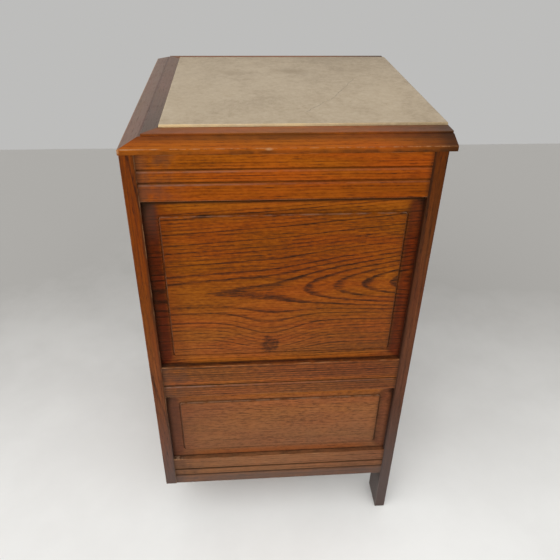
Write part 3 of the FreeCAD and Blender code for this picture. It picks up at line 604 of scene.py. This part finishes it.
def endDirt(sheet, figure, patch, swing=0.008, reach=(-0.001, 0.007), amount=(0.4, 0.6), most=0.85):
    # Dirt where a rail runs into its posts
    ways = sheet.within("y", case["railFront"], case["railBack"]) + (patch - 0.5) * swing
    return ways.fall(*reach) * patch.some(*amount) * most


for hand, side in ((1, "right_"), (-1, "left_")):
    for index, (piece, board) in enumerate(sideRails.items()):
        node = side + piece
        board = {**usualRail, **board}
        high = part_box(node)[1]
        heights = [high.z - drop for drop in board["lines"]]
        lineDirtAndShade = partial(scratchDirtAndShade, heights, under=board["under"], amount=board["lineDirtAndShade"])
        low = piece == "bottom_rail"
        dress(node, oakMaterial(node, {
            **board, "pith": (high.z - board["pithBelow"], hand * board["pithOut"]),
            "seed": board["firstSeed"] + index * board["seedStep"] + hand,
            "soaks": (railSoak, partial(lowSoak, heights[-1], board["lowSoak"])),
            "smears": (railSmear,),
            "waxes": (partial(scratchWax, heights, board["waxEnds"], amount=board["wax"]),),
            "stains": (lineDirtAndShade, endDirt, partial(ledgeGrime, node, hand)),
            "blooms": (partial(ledgeLint, node),) if low else (),
            "dusts": (partial(underDust, node),) if low else (),
            "rubs": (partial(boxArris, node, "x", "z"),),
            "hollowsAndLitMargin": (partial(scratchHollow, heights),) if piece == "middle_rail" else (),
            "inside": partial(sideInside, hand, case["innerSide"] * hand),
        }))
print("side rails done")

# Posts: upright grain
posts = {
    "right_front_post": {"seed": 31.0, "tint": (0.84, 0.80, 1.0), "bright": 0.61, "tilt": 0.12,
                         "ring": 0.0017, "contrast": 0.7, "streaks": 0.12},
    "right_back_post": {"seed": 34.0, "tint": (0.52, 0.48, 0.65), "bright": 0.60, "rub": 0.0, "film": 0.9,
                        "filmAndSheenTop": 0.80},
    "left_front_post": {"seed": 37.0, "tint": (0.85, 0.82, 1.0), "bright": 0.60},
    "left_back_post": {"seed": 40.0, "tint": (0.80, 0.78, 0.95), "bright": 0.58},
}
usualPost = {
    "grain": "zxy", "ring": 0.0026, "wobble": 0.0018, "contrast": 0.5, "streaks": 0.08, "flecks": 0.30,
    "tilt": 0.03, "rub": 0.4, "rubReach": 0.0016, "pithShare": 0.6, "pithBehind": 0.05,
}


def postJointDirtAndShade(node, sheet, figure, patch, reach=(0.0005, 0.0050), top=0.11, amount=(0.35, 0.5)):
    # Dirt and painted shade along the arris that meets the side rails
    low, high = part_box(node)
    inward = high.y - sheet.y if "front" in node else sheet.y - low.y
    return inward.fall(*reach) * sheet.z.rise(low.z, top) * patch.some(*amount)


def footDust(sheet, figure, patch, up=(0.05, 0.31), amount=(0.62, 0.4)):  # grey from mopping
    return sheet.z.fall(*up) * patch.some(*amount)


def footInnerDustAndLight(node, sheet, figure, patch, reach=(0.0004, 0.0016), up=(0.055, 0.095), amount=(0.7, 0.3)):
    # Pale dust and painted light on the inner face of a foot, with painted shade left at its top under the
    # rail
    return sheet.y.fall(*past(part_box(node)[0].y, reach)) * sheet.z.fall(*up) * patch.some(*amount)


for node, board in posts.items():
    board = {**usualPost, **board}
    low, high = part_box(node)
    pith = ((low.x + high.x) / 2 * board["pithShare"], high.y + board["pithBehind"])
    dress(node, oakMaterial(node, {
        **board, "pith": pith,
        "stains": (partial(postJointDirtAndShade, node),),
        "dusts": (footDust,),
        "paleDustsAndLight": (partial(footInnerDustAndLight, node),) if "back" in node else (),
        "rubs": (partial(boxArris, node, "x", "y", reach=board["rubReach"], amount=board["rub"]),),
    }))
print("posts done")

# Mouldings round the marble: lip, slope, small step and flat band
mouldings = {
    "right_moulding": {"pith": (0.62, 0.10), "seed": 45.0, "tint": (1.14, 1.05, 0.95), "contrast": 0.6,
                       "mottle": 0.5},
    # The left and front mouldings' grey-blue tints are painted reflection, a sheen seen at a grazing angle
    "left_moulding": {"pith": (0.63, -0.12), "seed": 49.0, "tint": (0.80, 0.88, 1.3)},
    "front_moulding": {"grain": "xzy", "pith": (0.60, -0.05), "seed": 53.0, "tint": (0.45, 0.70, 4.5),
                       "specular": 1.0, "sheen": (1.0, 0.97, 0.97), "ledge": 0.25, "near": 0.6,
                       "haze": 0.2, "mitre": 0.0},
}
usualMoulding = {
    "grain": "yzx", "ring": 0.0032, "wobble": 0.002, "contrast": 0.45, "bright": 0.97, "specular": 0.27,
    "streaks": 0.05, "flecks": 0.30, "ledge": 1.0, "near": 0.0, "haze": 0.0, "mitre": 1.0,
}
moulded = {"lip": case["top"] + 0.0065, "ledge": case["top"] + 0.0146}
knocks = {
    "corner": {"at": (0.2015, -0.1603, 0.714), "size": (0.003, 0.003, 0.003), "amount": 0.85},
    "lip": {"at": (0.2305, -0.008, 0.7055), "size": (0.004, 0.0065, 0.0022), "amount": 0.7,
            "spots": (0.2, 0.6)},
    "end": {"at": (0.2305, -0.1855, 0.7040), "size": (0.0030, 0.0030, 0.0040), "amount": 0.75},
}


def lipRub(sheet, figure, patch, ends=(-0.175, -0.12), endSpots=(0.2, 0.5), endMost=0.45, scale=90,
           spots=(0.42, 0.62), most=0.5, width=(0.0001, 0.0007)):
    near = sheet.y.fall(*ends)
    fine = sheet.speckle(scale, 6.1, 4.0, 0.65)
    worn = fine.rise(*spots) * most + near * patch.rise(*endSpots) * endMost
    return (sheet.z - moulded["lip"]).size().fall(*width) * worn


def lipShade(sheet, figure, patch, up=(0.0030, 0.0062), spots=(0.4, 0.65), amount=(0.34, 0.3)):
    # Painted shade on the lip's upright face, darkest at its foot above the rail
    return sheet.z.fall(*past(case["top"], up)) * patch.rise(*spots).some(*amount)


def ledgeDirtAndShade(most, sheet, figure, patch, foot=(-0.0005, -0.0002), head=(0.0012, 0.0022),
              amount=(0.25, 0.6), slope=(-0.0056, -0.0004), end=(0.0, 0.0004), slopeAmount=(0.32, 0.5)):
    # Dirt on the small step, and painted shade thinning out down the slope below it
    above = sheet.z - moulded["ledge"]
    line = above.rise(*foot) * above.fall(*head) * patch.some(*amount)
    soft = above.rise(*slope) * above.fall(*end) * patch.some(*slopeAmount)
    return line.most(soft) * most


def marbleGap(sheet, figure, patch, reach=(0.0008, 0.0022), spots=(0.3, 0.6), amount=(0.45, 0.4)):
    # Dirt packed along the edge of the marble
    low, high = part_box("marble_top")
    out = (sheet.x - high.x).most(low.x - sheet.x).most(low.y - sheet.y)
    return out.fall(*reach) * patch.rise(*spots).some(*amount)


def onBand(sheet, up=(0.0012, 0.0018)):
    return sheet.z.rise(*past(moulded["ledge"], up))


def bandGrime(near, sheet, figure, patch, along=(0.0, 0.2), first=(-0.18, -0.06), firstMost=0.30,
              last=(0.05, 0.19), lastMost=0.25, swing=0.2, least=0.02):
    # The flat band is handled most: the sides at both ends, the front at its near end
    if near:
        ends = sheet.x.rise(*along) * near
    else:
        ends = sheet.y.fall(*first) * firstMost + sheet.y.rise(*last) * lastMost
    return onBand(sheet) * (patch * swing + ends + least)


def bandHaze(sheet, figure, patch, amount=(0.10, 0.16)):  # thin grey dust on the flat band
    return onBand(sheet) * patch.some(*amount)


def slopeSheen(amount, sheet, figure, patch, above=0.001, below=0.0005):  # painted sheen: a pale bloom over the slope
    low = sheet.z.rise(moulded["lip"], moulded["lip"] + above)
    return low * sheet.z.fall(moulded["ledge"] - below, moulded["ledge"]) * amount


def mitreDirt(most, sheet, figure, patch, slant=0.6, reach=(-0.202, -0.168), amount=(0.12, 0.6)):
    # Grime beside the front mitres
    return (sheet.y + slant * (sheet.z - case["top"])).fall(*reach) * patch.some(*amount) * most


def farEnd(sheet, figure, patch, along=(0.11, 0.222), amount=(0.4, 0.5), last=(0.170, 0.217), most=0.85):
    # Darker towards the back
    return (sheet.y.rise(*along) * patch.some(*amount)).most(sheet.y.rise(*last) * most)


def knocked(name, sheet, figure, patch, edge=(0.3, 1.0)):
    # A small knock that shows as a spot
    spot = knocks[name]
    rows = zip("xyz", spot["at"], spot["size"])
    x, y, z = [(sheet.axis[axis] - at) / size for axis, at, size in rows]
    mask = (x * x + y * y + z * z).root().fall(*edge)
    if "spots" in spot:
        mask = mask * patch.rise(*spot["spots"])
    return mask * spot["amount"]


for node, board in mouldings.items():
    board = {**usualMoulding, **board}
    dress(node, oakMaterial(node, {
        **board,
        "stains": (partial(ledgeDirtAndShade, board["ledge"]), lipShade, partial(bandGrime, board["near"]), farEnd,
                   partial(mitreDirt, board["mitre"]), partial(knocked, "corner"), marbleGap),
        "blooms": (bandHaze, partial(slopeSheen, board["haze"])),
        "rubs": (lipRub, partial(knocked, "lip"), partial(knocked, "end")),
    }))
print("mouldings done")

# Front: drawer front, divider, door and bottom rail
frontBoards = {
    "drawer_front": {"pith": (0.52, -0.08), "ring": 0.0034, "seed": 61.0, "bright": 0.70,
                     "lines": (0.019, 0.036)},
    "divider_rail": {"pith": (0.50, -0.10), "ring": 0.0028, "seed": 64.0},
    "front_bottom_rail": {"pith": (0.0, -0.05), "ring": 0.0030, "seed": 67.0, "lines": (0.024, 0.039)},
    "door_top_rail": {"pith": (0.47, -0.07), "ring": 0.0030, "seed": 70.0},
    "door_middle_rail": {"pith": (0.20, -0.08), "ring": 0.0032, "seed": 73.0, "lines": (0.037,)},
    "door_bottom_rail": {"pith": (0.05, -0.06), "ring": 0.0030, "seed": 76.0},
    "door_hinge_stile": {"grain": "zxy", "pith": (0.05, -0.10), "ring": 0.0028, "seed": 79.0, "tilt": 0.02},
    "door_lock_stile": {"grain": "zxy", "pith": (-0.04, -0.11), "ring": 0.0028, "seed": 82.0, "tilt": -0.02},
}
usualFront = {"grain": "xzy", "wobble": 0.0025, "contrast": 0.9, "lines": (), "waxEnds": (-0.1, 0.15)}
for node, board in frontBoards.items():
    board = {**usualFront, **board}
    lineTop = case["top"] if node == "drawer_front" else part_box(node)[1].z
    heights = [lineTop - drop for drop in board["lines"]]
    first = "x" if board["grain"][0] == "z" else "z"
    dress(node, oakMaterial(node, {
        **board,
        "waxes": (partial(scratchWax, heights, board["waxEnds"]),) if heights else (),
        "stains": (partial(scratchDirtAndShade, heights),) if heights else (),
        "rubs": (partial(boxArris, node, first, "y"),),
        "inside": partial(frontInside, case["railFront"]),
    }))

doorPanels = {
    "door_upper_panel": {"pith": (0.455, -0.130), "lean": 0.05, "ring": 0.0050, "uneven": 0.6, "tilt": 0.10,
                         "wobble": 0.006, "early": 0.62, "seed": 85.0, "contrast": 1.15},
    "door_lower_panel": {"pith": (0.10, -0.13), "ring": 0.0032, "seed": 88.0, "contrast": 0.65},
}
for node, board in doorPanels.items():
    row = {**panelRows["upper"], "top": panelRows["lower"]["top"]}
    age = panelAge(node, "x", row["top"], row["soaked"], row["smeared"])
    inside = partial(frontInside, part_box(node)[1].y)
    dress(node, oakMaterial(node, {"grain": "xzy", **board, **age, "inside": inside}))

backAndPlinth = {
    "back_top_rail": {"pith": (0.56, 0.30), "seed": 91.0, "bright": 0.5},
    "back_bottom_rail": {"pith": (0.02, 0.30), "seed": 94.0, "bright": 0.5},
    "plinth_front": {"pith": (-0.05, -0.05), "seed": 97.0, "bright": 0.5},
    "plinth_returns": {"grain": "yzx", "pith": (-0.05, 0.0), "seed": 99.0, "bright": 0.45},
}
for node, board in backAndPlinth.items():
    dress(node, oakMaterial(node, {"grain": "xzy", "ring": 0.0034, "contrast": 0.7, **board}))
print("front, back and plinth done")

# Plain wood inside: unstained boards gone brown with age
plainLook = {
    "tones": (
        (0.0, (0.050, 0.022, 0.008)),
        (0.4, (0.130, 0.064, 0.025)),
        (0.7, (0.215, 0.118, 0.050)),
        (1.0, (0.300, 0.180, 0.085)),
    ),
    "dust": (0.20, 0.155, 0.112),
    "dustScale": 14, "dustPatch": (0.45, 0.75), "dustMost": 0.35,
    "board": {"ring": 0.0042, "wobble": 0.004, "tilt": 0.03},
    "seed": 110.0, "seedStep": 5,
    "pith": (0.03, 0.02, 0.04),  # beside the board's middle, further for each of three, and under it
    "toneSwing": 0.5, "fibreSwing": 0.5, "bright": 0.62, "ringDepth": 0.30, "poreDepth": 0.15,
    "roughness": {"plain": 0.72, "pore": 0.1, "dust": 0.2},
    "relief": {"fibre": 0.5, "ring": 0.3, "depth": 0.0006, "strength": 0.5},
    "specular": 0.25,
}
plainBoards = {
    "marble_bed": "yxz", "back_panel": "zxy", "bottom_board": "xyz", "bottom_cleats": "yzx",
    "shelf": "xyz", "shelf_cleats": "yzx", "drawer_runners": "yzx", "drawer_guides": "yzx",
    "drawer_stops": "xyz", "door_stop": "xzy", "drawer_right_side": "yzx", "drawer_left_side": "yzx",
    "drawer_back": "xzy", "drawer_bottom": "xyz", "plinth_blocks": "zxy",
}


def plainMaterial(node, grain, index):
    low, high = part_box(node)
    middle = (low + high) / 2
    beside, further, below = plainLook["pith"]
    pith = (getattr(middle, grain[1]) - beside - further * (index % 3), getattr(low, grain[2]) - below)
    seed = plainLook["seed"] + index * plainLook["seedStep"]
    rough, relief = plainLook["roughness"], plainLook["relief"]
    sheet = Sheet(node)
    figure = oakFigure(sheet, {**plainLook["board"], "grain": grain, "pith": pith, "seed": seed})
    fibre, ring, pore = figure["fibre"], figure["ring"], figure["pore"]
    shade = (figure["strand"]("tone") - 0.5) * plainLook["toneSwing"]
    shade = shade + (fibre - 0.5) * plainLook["fibreSwing"] + plainLook["bright"]
    shade = shade - ring * plainLook["ringDepth"] - pore * plainLook["poreDepth"]
    dust = sheet.speckle(plainLook["dustScale"], index * 2.3, 4.0, 0.6)
    dust = dust.rise(*plainLook["dustPatch"]) * plainLook["dustMost"]
    colour = sheet.mix(dust, sheet.ramp(shade, plainLook["tones"]), plainLook["dust"])
    roughness = pore * rough["pore"] + dust * rough["dust"] + rough["plain"]
    sheet.paint(colour, roughness, plainLook["specular"])
    sheet.bump(fibre * relief["fibre"] - ring * relief["ring"], relief["depth"], relief["strength"])
    return sheet


for index, (node, grain) in enumerate(plainBoards.items()):
    dress(node, plainMaterial(node, grain, index))
print("plain boards done")

# Marble slab: clouded beige, old stains, a hair crack, edges rubbed warm and pale with a painted highlight
# along the near edge, and painted shade towards the back
marbleLook = {
    "tones": (
        (0.0, (0.285, 0.210, 0.124)),
        (0.45, (0.410, 0.322, 0.213)),
        (1.0, (0.510, 0.422, 0.300)),
    ),
    "bright": 0.51, "cloud": 1.0, "curd": 0.75, "grain": 0.9, "fleck": 0.2,
    "back": (-0.05, 0.22), "backLess": 0.15, "far": (-0.19, -0.06), "farLess": 0.22,
    "stain": (0.235, 0.165, 0.085),
    "stains": (  # middle, spread along y and x, amount
        ((-0.081, 0.047), (0.024, 0.013), 0.95),
        ((-0.075, -0.051), (0.034, 0.016), 0.34),
        ((-0.087, 0.143), (0.035, 0.025), 0.34),
    ),
    "stainCloud": (0.3, 0.6), "stainAmount": (0.6, 0.4),
    "crack": (0.13, 0.10, 0.07),
    "cracks": (((-0.036, 0.141), (0.073, 0.091)), ((0.073, 0.091), (0.135, 0.046))),
    "crackWander": 0.006, "crackWidth": (0.0002, 0.0010), "crackGrain": (0.35, 0.6), "crackMost": 0.65,
    "edge": (0.62, 0.455, 0.22),
    "edgeWidth": (0.0004, 0.0016), "edgeCloud": (0.35, 0.6), "edgeAmount": (0.2, 0.7),
    "edgeSide": (0.176, 0.181), "edgeFar": (0.02, 0.16), "edgeNear": (0.25, 0.6),
    "grimeWidth": (0.0006, 0.0022), "grimeBack": (0.0, 0.17), "grimeGrain": (0.3, 0.6),
    "grimeAmount": (0.35, 0.4),
    "roughness": {"plain": 0.36, "cloud": 0.2, "fleck": 0.15},
    "relief": {"grain": 0.4, "fleck": 0.5, "depth": 0.0003, "strength": 0.4},
    "specular": 0.4,
}


def awayFrom(sheet, start, end, wander):
    # Distance in plan from a straight line between two points
    span = Vector(end) - Vector(start)
    offX = sheet.x + wander - start[0]
    offY = sheet.y + wander - start[1]
    part = (offX * span.x + offY * span.y) / span.length_squared
    part = part.most(0.0).least(1.0)
    gapX = offX - part * span.x
    gapY = offY - part * span.y
    return (gapX * gapX + gapY * gapY).root()


def marbleMaterial():
    look, rough, relief = marbleLook, marbleLook["roughness"], marbleLook["relief"]
    sheet = Sheet("marble")
    low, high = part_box("marble_top")
    cloud = sheet.speckle(8, 1.0, 6.0, 0.62, 0.6)
    curd = sheet.speckle(38, 7.0, 5.0, 0.66, 0.3)
    grain = sheet.speckle(150, 4.0, 3.0, 0.6)
    fleck = sheet.speckle(420, 6.0, 2.0).rise(0.62, 0.75)
    shade = (cloud - 0.5) * look["cloud"] + (curd - 0.5) * look["curd"] + (grain - 0.5) * look["grain"]
    shade = shade - fleck * look["fleck"] + look["bright"]
    # Painted shade: darker towards the back and the far edge
    shade = shade - sheet.y.rise(*look["back"]) * look["backLess"]
    shade = shade - sheet.x.fall(*look["far"]) * look["farLess"]
    colour = sheet.ramp(shade, look["tones"])
    for (atX, atY), (wide, deep), amount in look["stains"]:
        blot = sheet.x.bell(atX, deep) * sheet.y.bell(atY, wide)
        blot = blot * cloud.rise(*look["stainCloud"]).some(*look["stainAmount"]) * amount
        colour = sheet.mix(blot, colour, look["stain"])
    wander = (sheet.speckle(60, 9.0, 3.0) - 0.5) * look["crackWander"]
    for start, end in look["cracks"]:
        line = awayFrom(sheet, start, end, wander).fall(*look["crackWidth"])
        line = line * grain.rise(*look["crackGrain"]) * look["crackMost"]
        colour = sheet.mix(line, colour, look["crack"])
    # Rubbed pale rim with a painted highlight, strongest along the near edge
    rim = sheet.within("x", low.x, high.x).least(sheet.within("y", low.y, high.y))
    near = (sheet.x.rise(*look["edgeSide"]) * sheet.y.fall(*look["edgeFar"])).some(*look["edgeNear"])
    rub = rim.fall(*look["edgeWidth"]) * cloud.rise(*look["edgeCloud"]).some(*look["edgeAmount"]) * near
    colour = sheet.mix(rub, colour, look["edge"])
    grime = rim.fall(*look["grimeWidth"]) * sheet.y.rise(*look["grimeBack"])
    grime = grime * grain.rise(*look["grimeGrain"]).some(*look["grimeAmount"])
    colour = sheet.mix(grime, colour, look["stain"])
    roughness = (cloud - 0.5) * rough["cloud"] + fleck * rough["fleck"] + rough["plain"]
    sheet.paint(colour, roughness, look["specular"])
    sheet.bump(grain * relief["grain"] - fleck * relief["fleck"], relief["depth"], relief["strength"])
    return sheet


dress("marble_top", marbleMaterial())
print("marble done")

# Metal: aged brass fittings and an iron key
metals = {
    "brass": {"bright": (0.56, 0.40, 0.17), "dull": (0.20, 0.125, 0.048), "rough": 0.36, "scale": 55},
    "iron": {"bright": (0.16, 0.145, 0.13), "dull": (0.060, 0.040, 0.028), "rough": 0.48, "scale": 80},
}
metalNodes = {
    "brass": ("drawer_knob", "frame_hinge_leaves", "door_hinge_leaves", "hinge_pins", "frame_screws",
              "door_screws", "lock_case", "escutcheon", "strike_plate", "lock_bolt"),
    "iron": ("key", "drawer_knob_screw"),
}


def metalMaterial(metal, look, spots=(0.38, 0.66), tarnishRough=0.22, tarnishDepth=0.3, brush=(14, 14, 3),
                  fineRough=0.2, fineHeight=0.5, depth=0.0002, strength=0.4):
    sheet = Sheet(metal)
    tarnish = sheet.speckle(look["scale"], 2.0, 5.0, 0.62, 0.4).rise(*spots)
    fine = sheet.noise(sheet.place, [look["scale"] * times for times in brush], 5.0, 3.0)
    rough = tarnish * tarnishRough + (fine - 0.5) * fineRough + look["rough"]
    sheet.paint(sheet.mix(tarnish, look["bright"], look["dull"]), rough)
    sheet.shader.inputs["Metallic"].default_value = 1.0
    sheet.bump(fine * fineHeight - tarnish * tarnishDepth, depth, strength)
    return sheet


for metal, look in metals.items():
    sheet = metalMaterial(metal, look)
    for node in metalNodes[metal]:
        dress(node, sheet)
print("metal done")

# Floor, light and camera
stageLook = {
    "floor": (0.875, 0.885, 0.885), "far": (0.41, 0.405, 0.395), "wall": (0.51, 0.508, 0.50),
    "farEdge": -1.67, "reach": 14.0,
    "patchScale": 5, "patch": (0.3, 0.7), "patchMost": 0.10,
    "behind": (-0.8, 0.4), "behindMost": 0.95, "before": (0.8, 2.4), "beforeMost": 0.5,
    "beside": (0.6, 1.8), "besideMost": 0.2, "right": (0.2, 0.8), "rightMost": 0.20,
    "left": (-0.8, -0.2), "leftMost": 0.10, "roughness": 0.9, "specular": 0.1,
}


def makeFloor():
    look = stageLook
    mesh = bpy.data.meshes.new("floor")
    far, reach = look["farEdge"], look["reach"]
    corners = [(far, -reach, 0), (reach, -reach, 0), (reach, reach, 0), (far, reach, 0)]
    mesh.from_pydata(corners, [], [(0, 1, 2, 3)])
    floor = bpy.data.objects.new("floor", mesh)
    scene.collection.objects.link(floor)
    sheet = Sheet("floor")
    patch = sheet.speckle(look["patchScale"], 1.0, 5.0, 0.6)
    away = sheet.x.fall(*look["behind"]) * look["behindMost"]  # painted shade: darker away from the part
    away = away + sheet.x.rise(*look["before"]) * look["beforeMost"]
    away = away + sheet.y.size().rise(*look["beside"]) * look["besideMost"]
    away = away + sheet.y.rise(*look["right"]) * look["rightMost"]
    away = away + sheet.y.fall(*look["left"]) * look["leftMost"]
    tone = sheet.mix(patch.rise(*look["patch"]) * look["patchMost"] + away, look["floor"], look["far"])
    sheet.paint(tone, look["roughness"], look["specular"])
    mesh.materials.append(sheet.material)


roomLight = {"towards": (0.85, -0.32, 0.42), "edge": 0.2, "dim": 0.50, "bright": 2.22,
             "colour": (1.0, 0.985, 0.96)}


def makeWorld():
    world = bpy.data.worlds.new("room")
    scene.world = world
    world.use_nodes = True
    tree = world.node_tree
    add, link = tree.nodes.new, tree.links.new
    path = add("ShaderNodeLightPath")
    seen = add("ShaderNodeMath")
    seen.operation = "MAXIMUM"
    link(path.outputs["Is Camera Ray"], seen.inputs[0])
    link(path.outputs["Is Glossy Ray"], seen.inputs[1])
    light = tree.nodes["Background"]
    light.inputs["Color"].default_value = (*roomLight["colour"], 1.0)
    place = add("ShaderNodeTexCoord")
    facing = add("ShaderNodeVectorMath")  # brighter towards the windows
    facing.operation = "DOT_PRODUCT"
    link(place.outputs["Generated"], facing.inputs[0])
    facing.inputs[1].default_value = Vector(roomLight["towards"]).normalized()
    glow = add("ShaderNodeMapRange")
    glow.interpolation_type = "SMOOTHSTEP"
    link(facing.outputs["Value"], glow.inputs["Value"])
    glow.inputs["From Min"].default_value = roomLight["edge"]
    glow.inputs["To Min"].default_value = roomLight["dim"]
    glow.inputs["To Max"].default_value = roomLight["bright"]
    link(glow.outputs[0], light.inputs["Strength"])
    shown = add("ShaderNodeBackground")
    shown.inputs["Color"].default_value = (*stageLook["wall"], 1.0)
    mixed = add("ShaderNodeMixShader")
    link(seen.outputs[0], mixed.inputs[0])
    link(light.outputs[0], mixed.inputs[1])
    link(shown.outputs[0], mixed.inputs[2])
    link(mixed.outputs[0], tree.nodes["World Output"].inputs["Surface"])


lamp = {"name": "window", "at": (1.9, -0.7, 1.5), "aim": (0.4, 0.0, 0.1), "size": 1.6, "power": 6,
        "colour": (1.0, 0.99, 0.97)}


def makeLamp():
    data = bpy.data.lights.new(lamp["name"], "AREA")
    data.shape = "DISK"
    data.size = lamp["size"]
    data.energy = lamp["power"]
    data.color = lamp["colour"]
    light = bpy.data.objects.new(lamp["name"], data)
    light.location = lamp["at"]
    aim = Vector(lamp["aim"]) - Vector(lamp["at"])
    light.rotation_euler = aim.to_track_quat("-Z", "Y").to_euler()
    scene.collection.objects.link(light)


view = {"at": (0.8805, -0.0458, 0.9506), "lens": 36.84, "sensor": 36.0, "pitch": 33.48, "yaw": 4.70,
        "roll": -1.03}


def makeCamera():
    # Looking along -X, down by the pitch and turned by the yaw towards the back
    pitch, yaw, roll = [math.radians(view[name]) for name in ("pitch", "yaw", "roll")]
    level = math.cos(pitch)
    ahead = Vector((-math.cos(yaw) * level, math.sin(yaw) * level, -math.sin(pitch)))
    right = Vector((math.sin(yaw), math.cos(yaw), 0.0))
    down = ahead.cross(right)
    turnedRight = right * math.cos(roll) + down * math.sin(roll)
    turnedDown = down * math.cos(roll) - right * math.sin(roll)
    data = bpy.data.cameras.new("photoView")
    data.lens = view["lens"]
    data.sensor_width = view["sensor"]
    camera = bpy.data.objects.new("photoView", data)
    turn = Matrix((turnedRight, -turnedDown, -ahead)).transposed()
    camera.matrix_world = Matrix.Translation(Vector(view["at"])) @ turn.to_4x4()
    scene.collection.objects.link(camera)
    scene.camera = camera


makeLamp()
makeFloor()
makeWorld()
makeCamera()
scene.view_settings.view_transform = "Standard"
print("stage done")
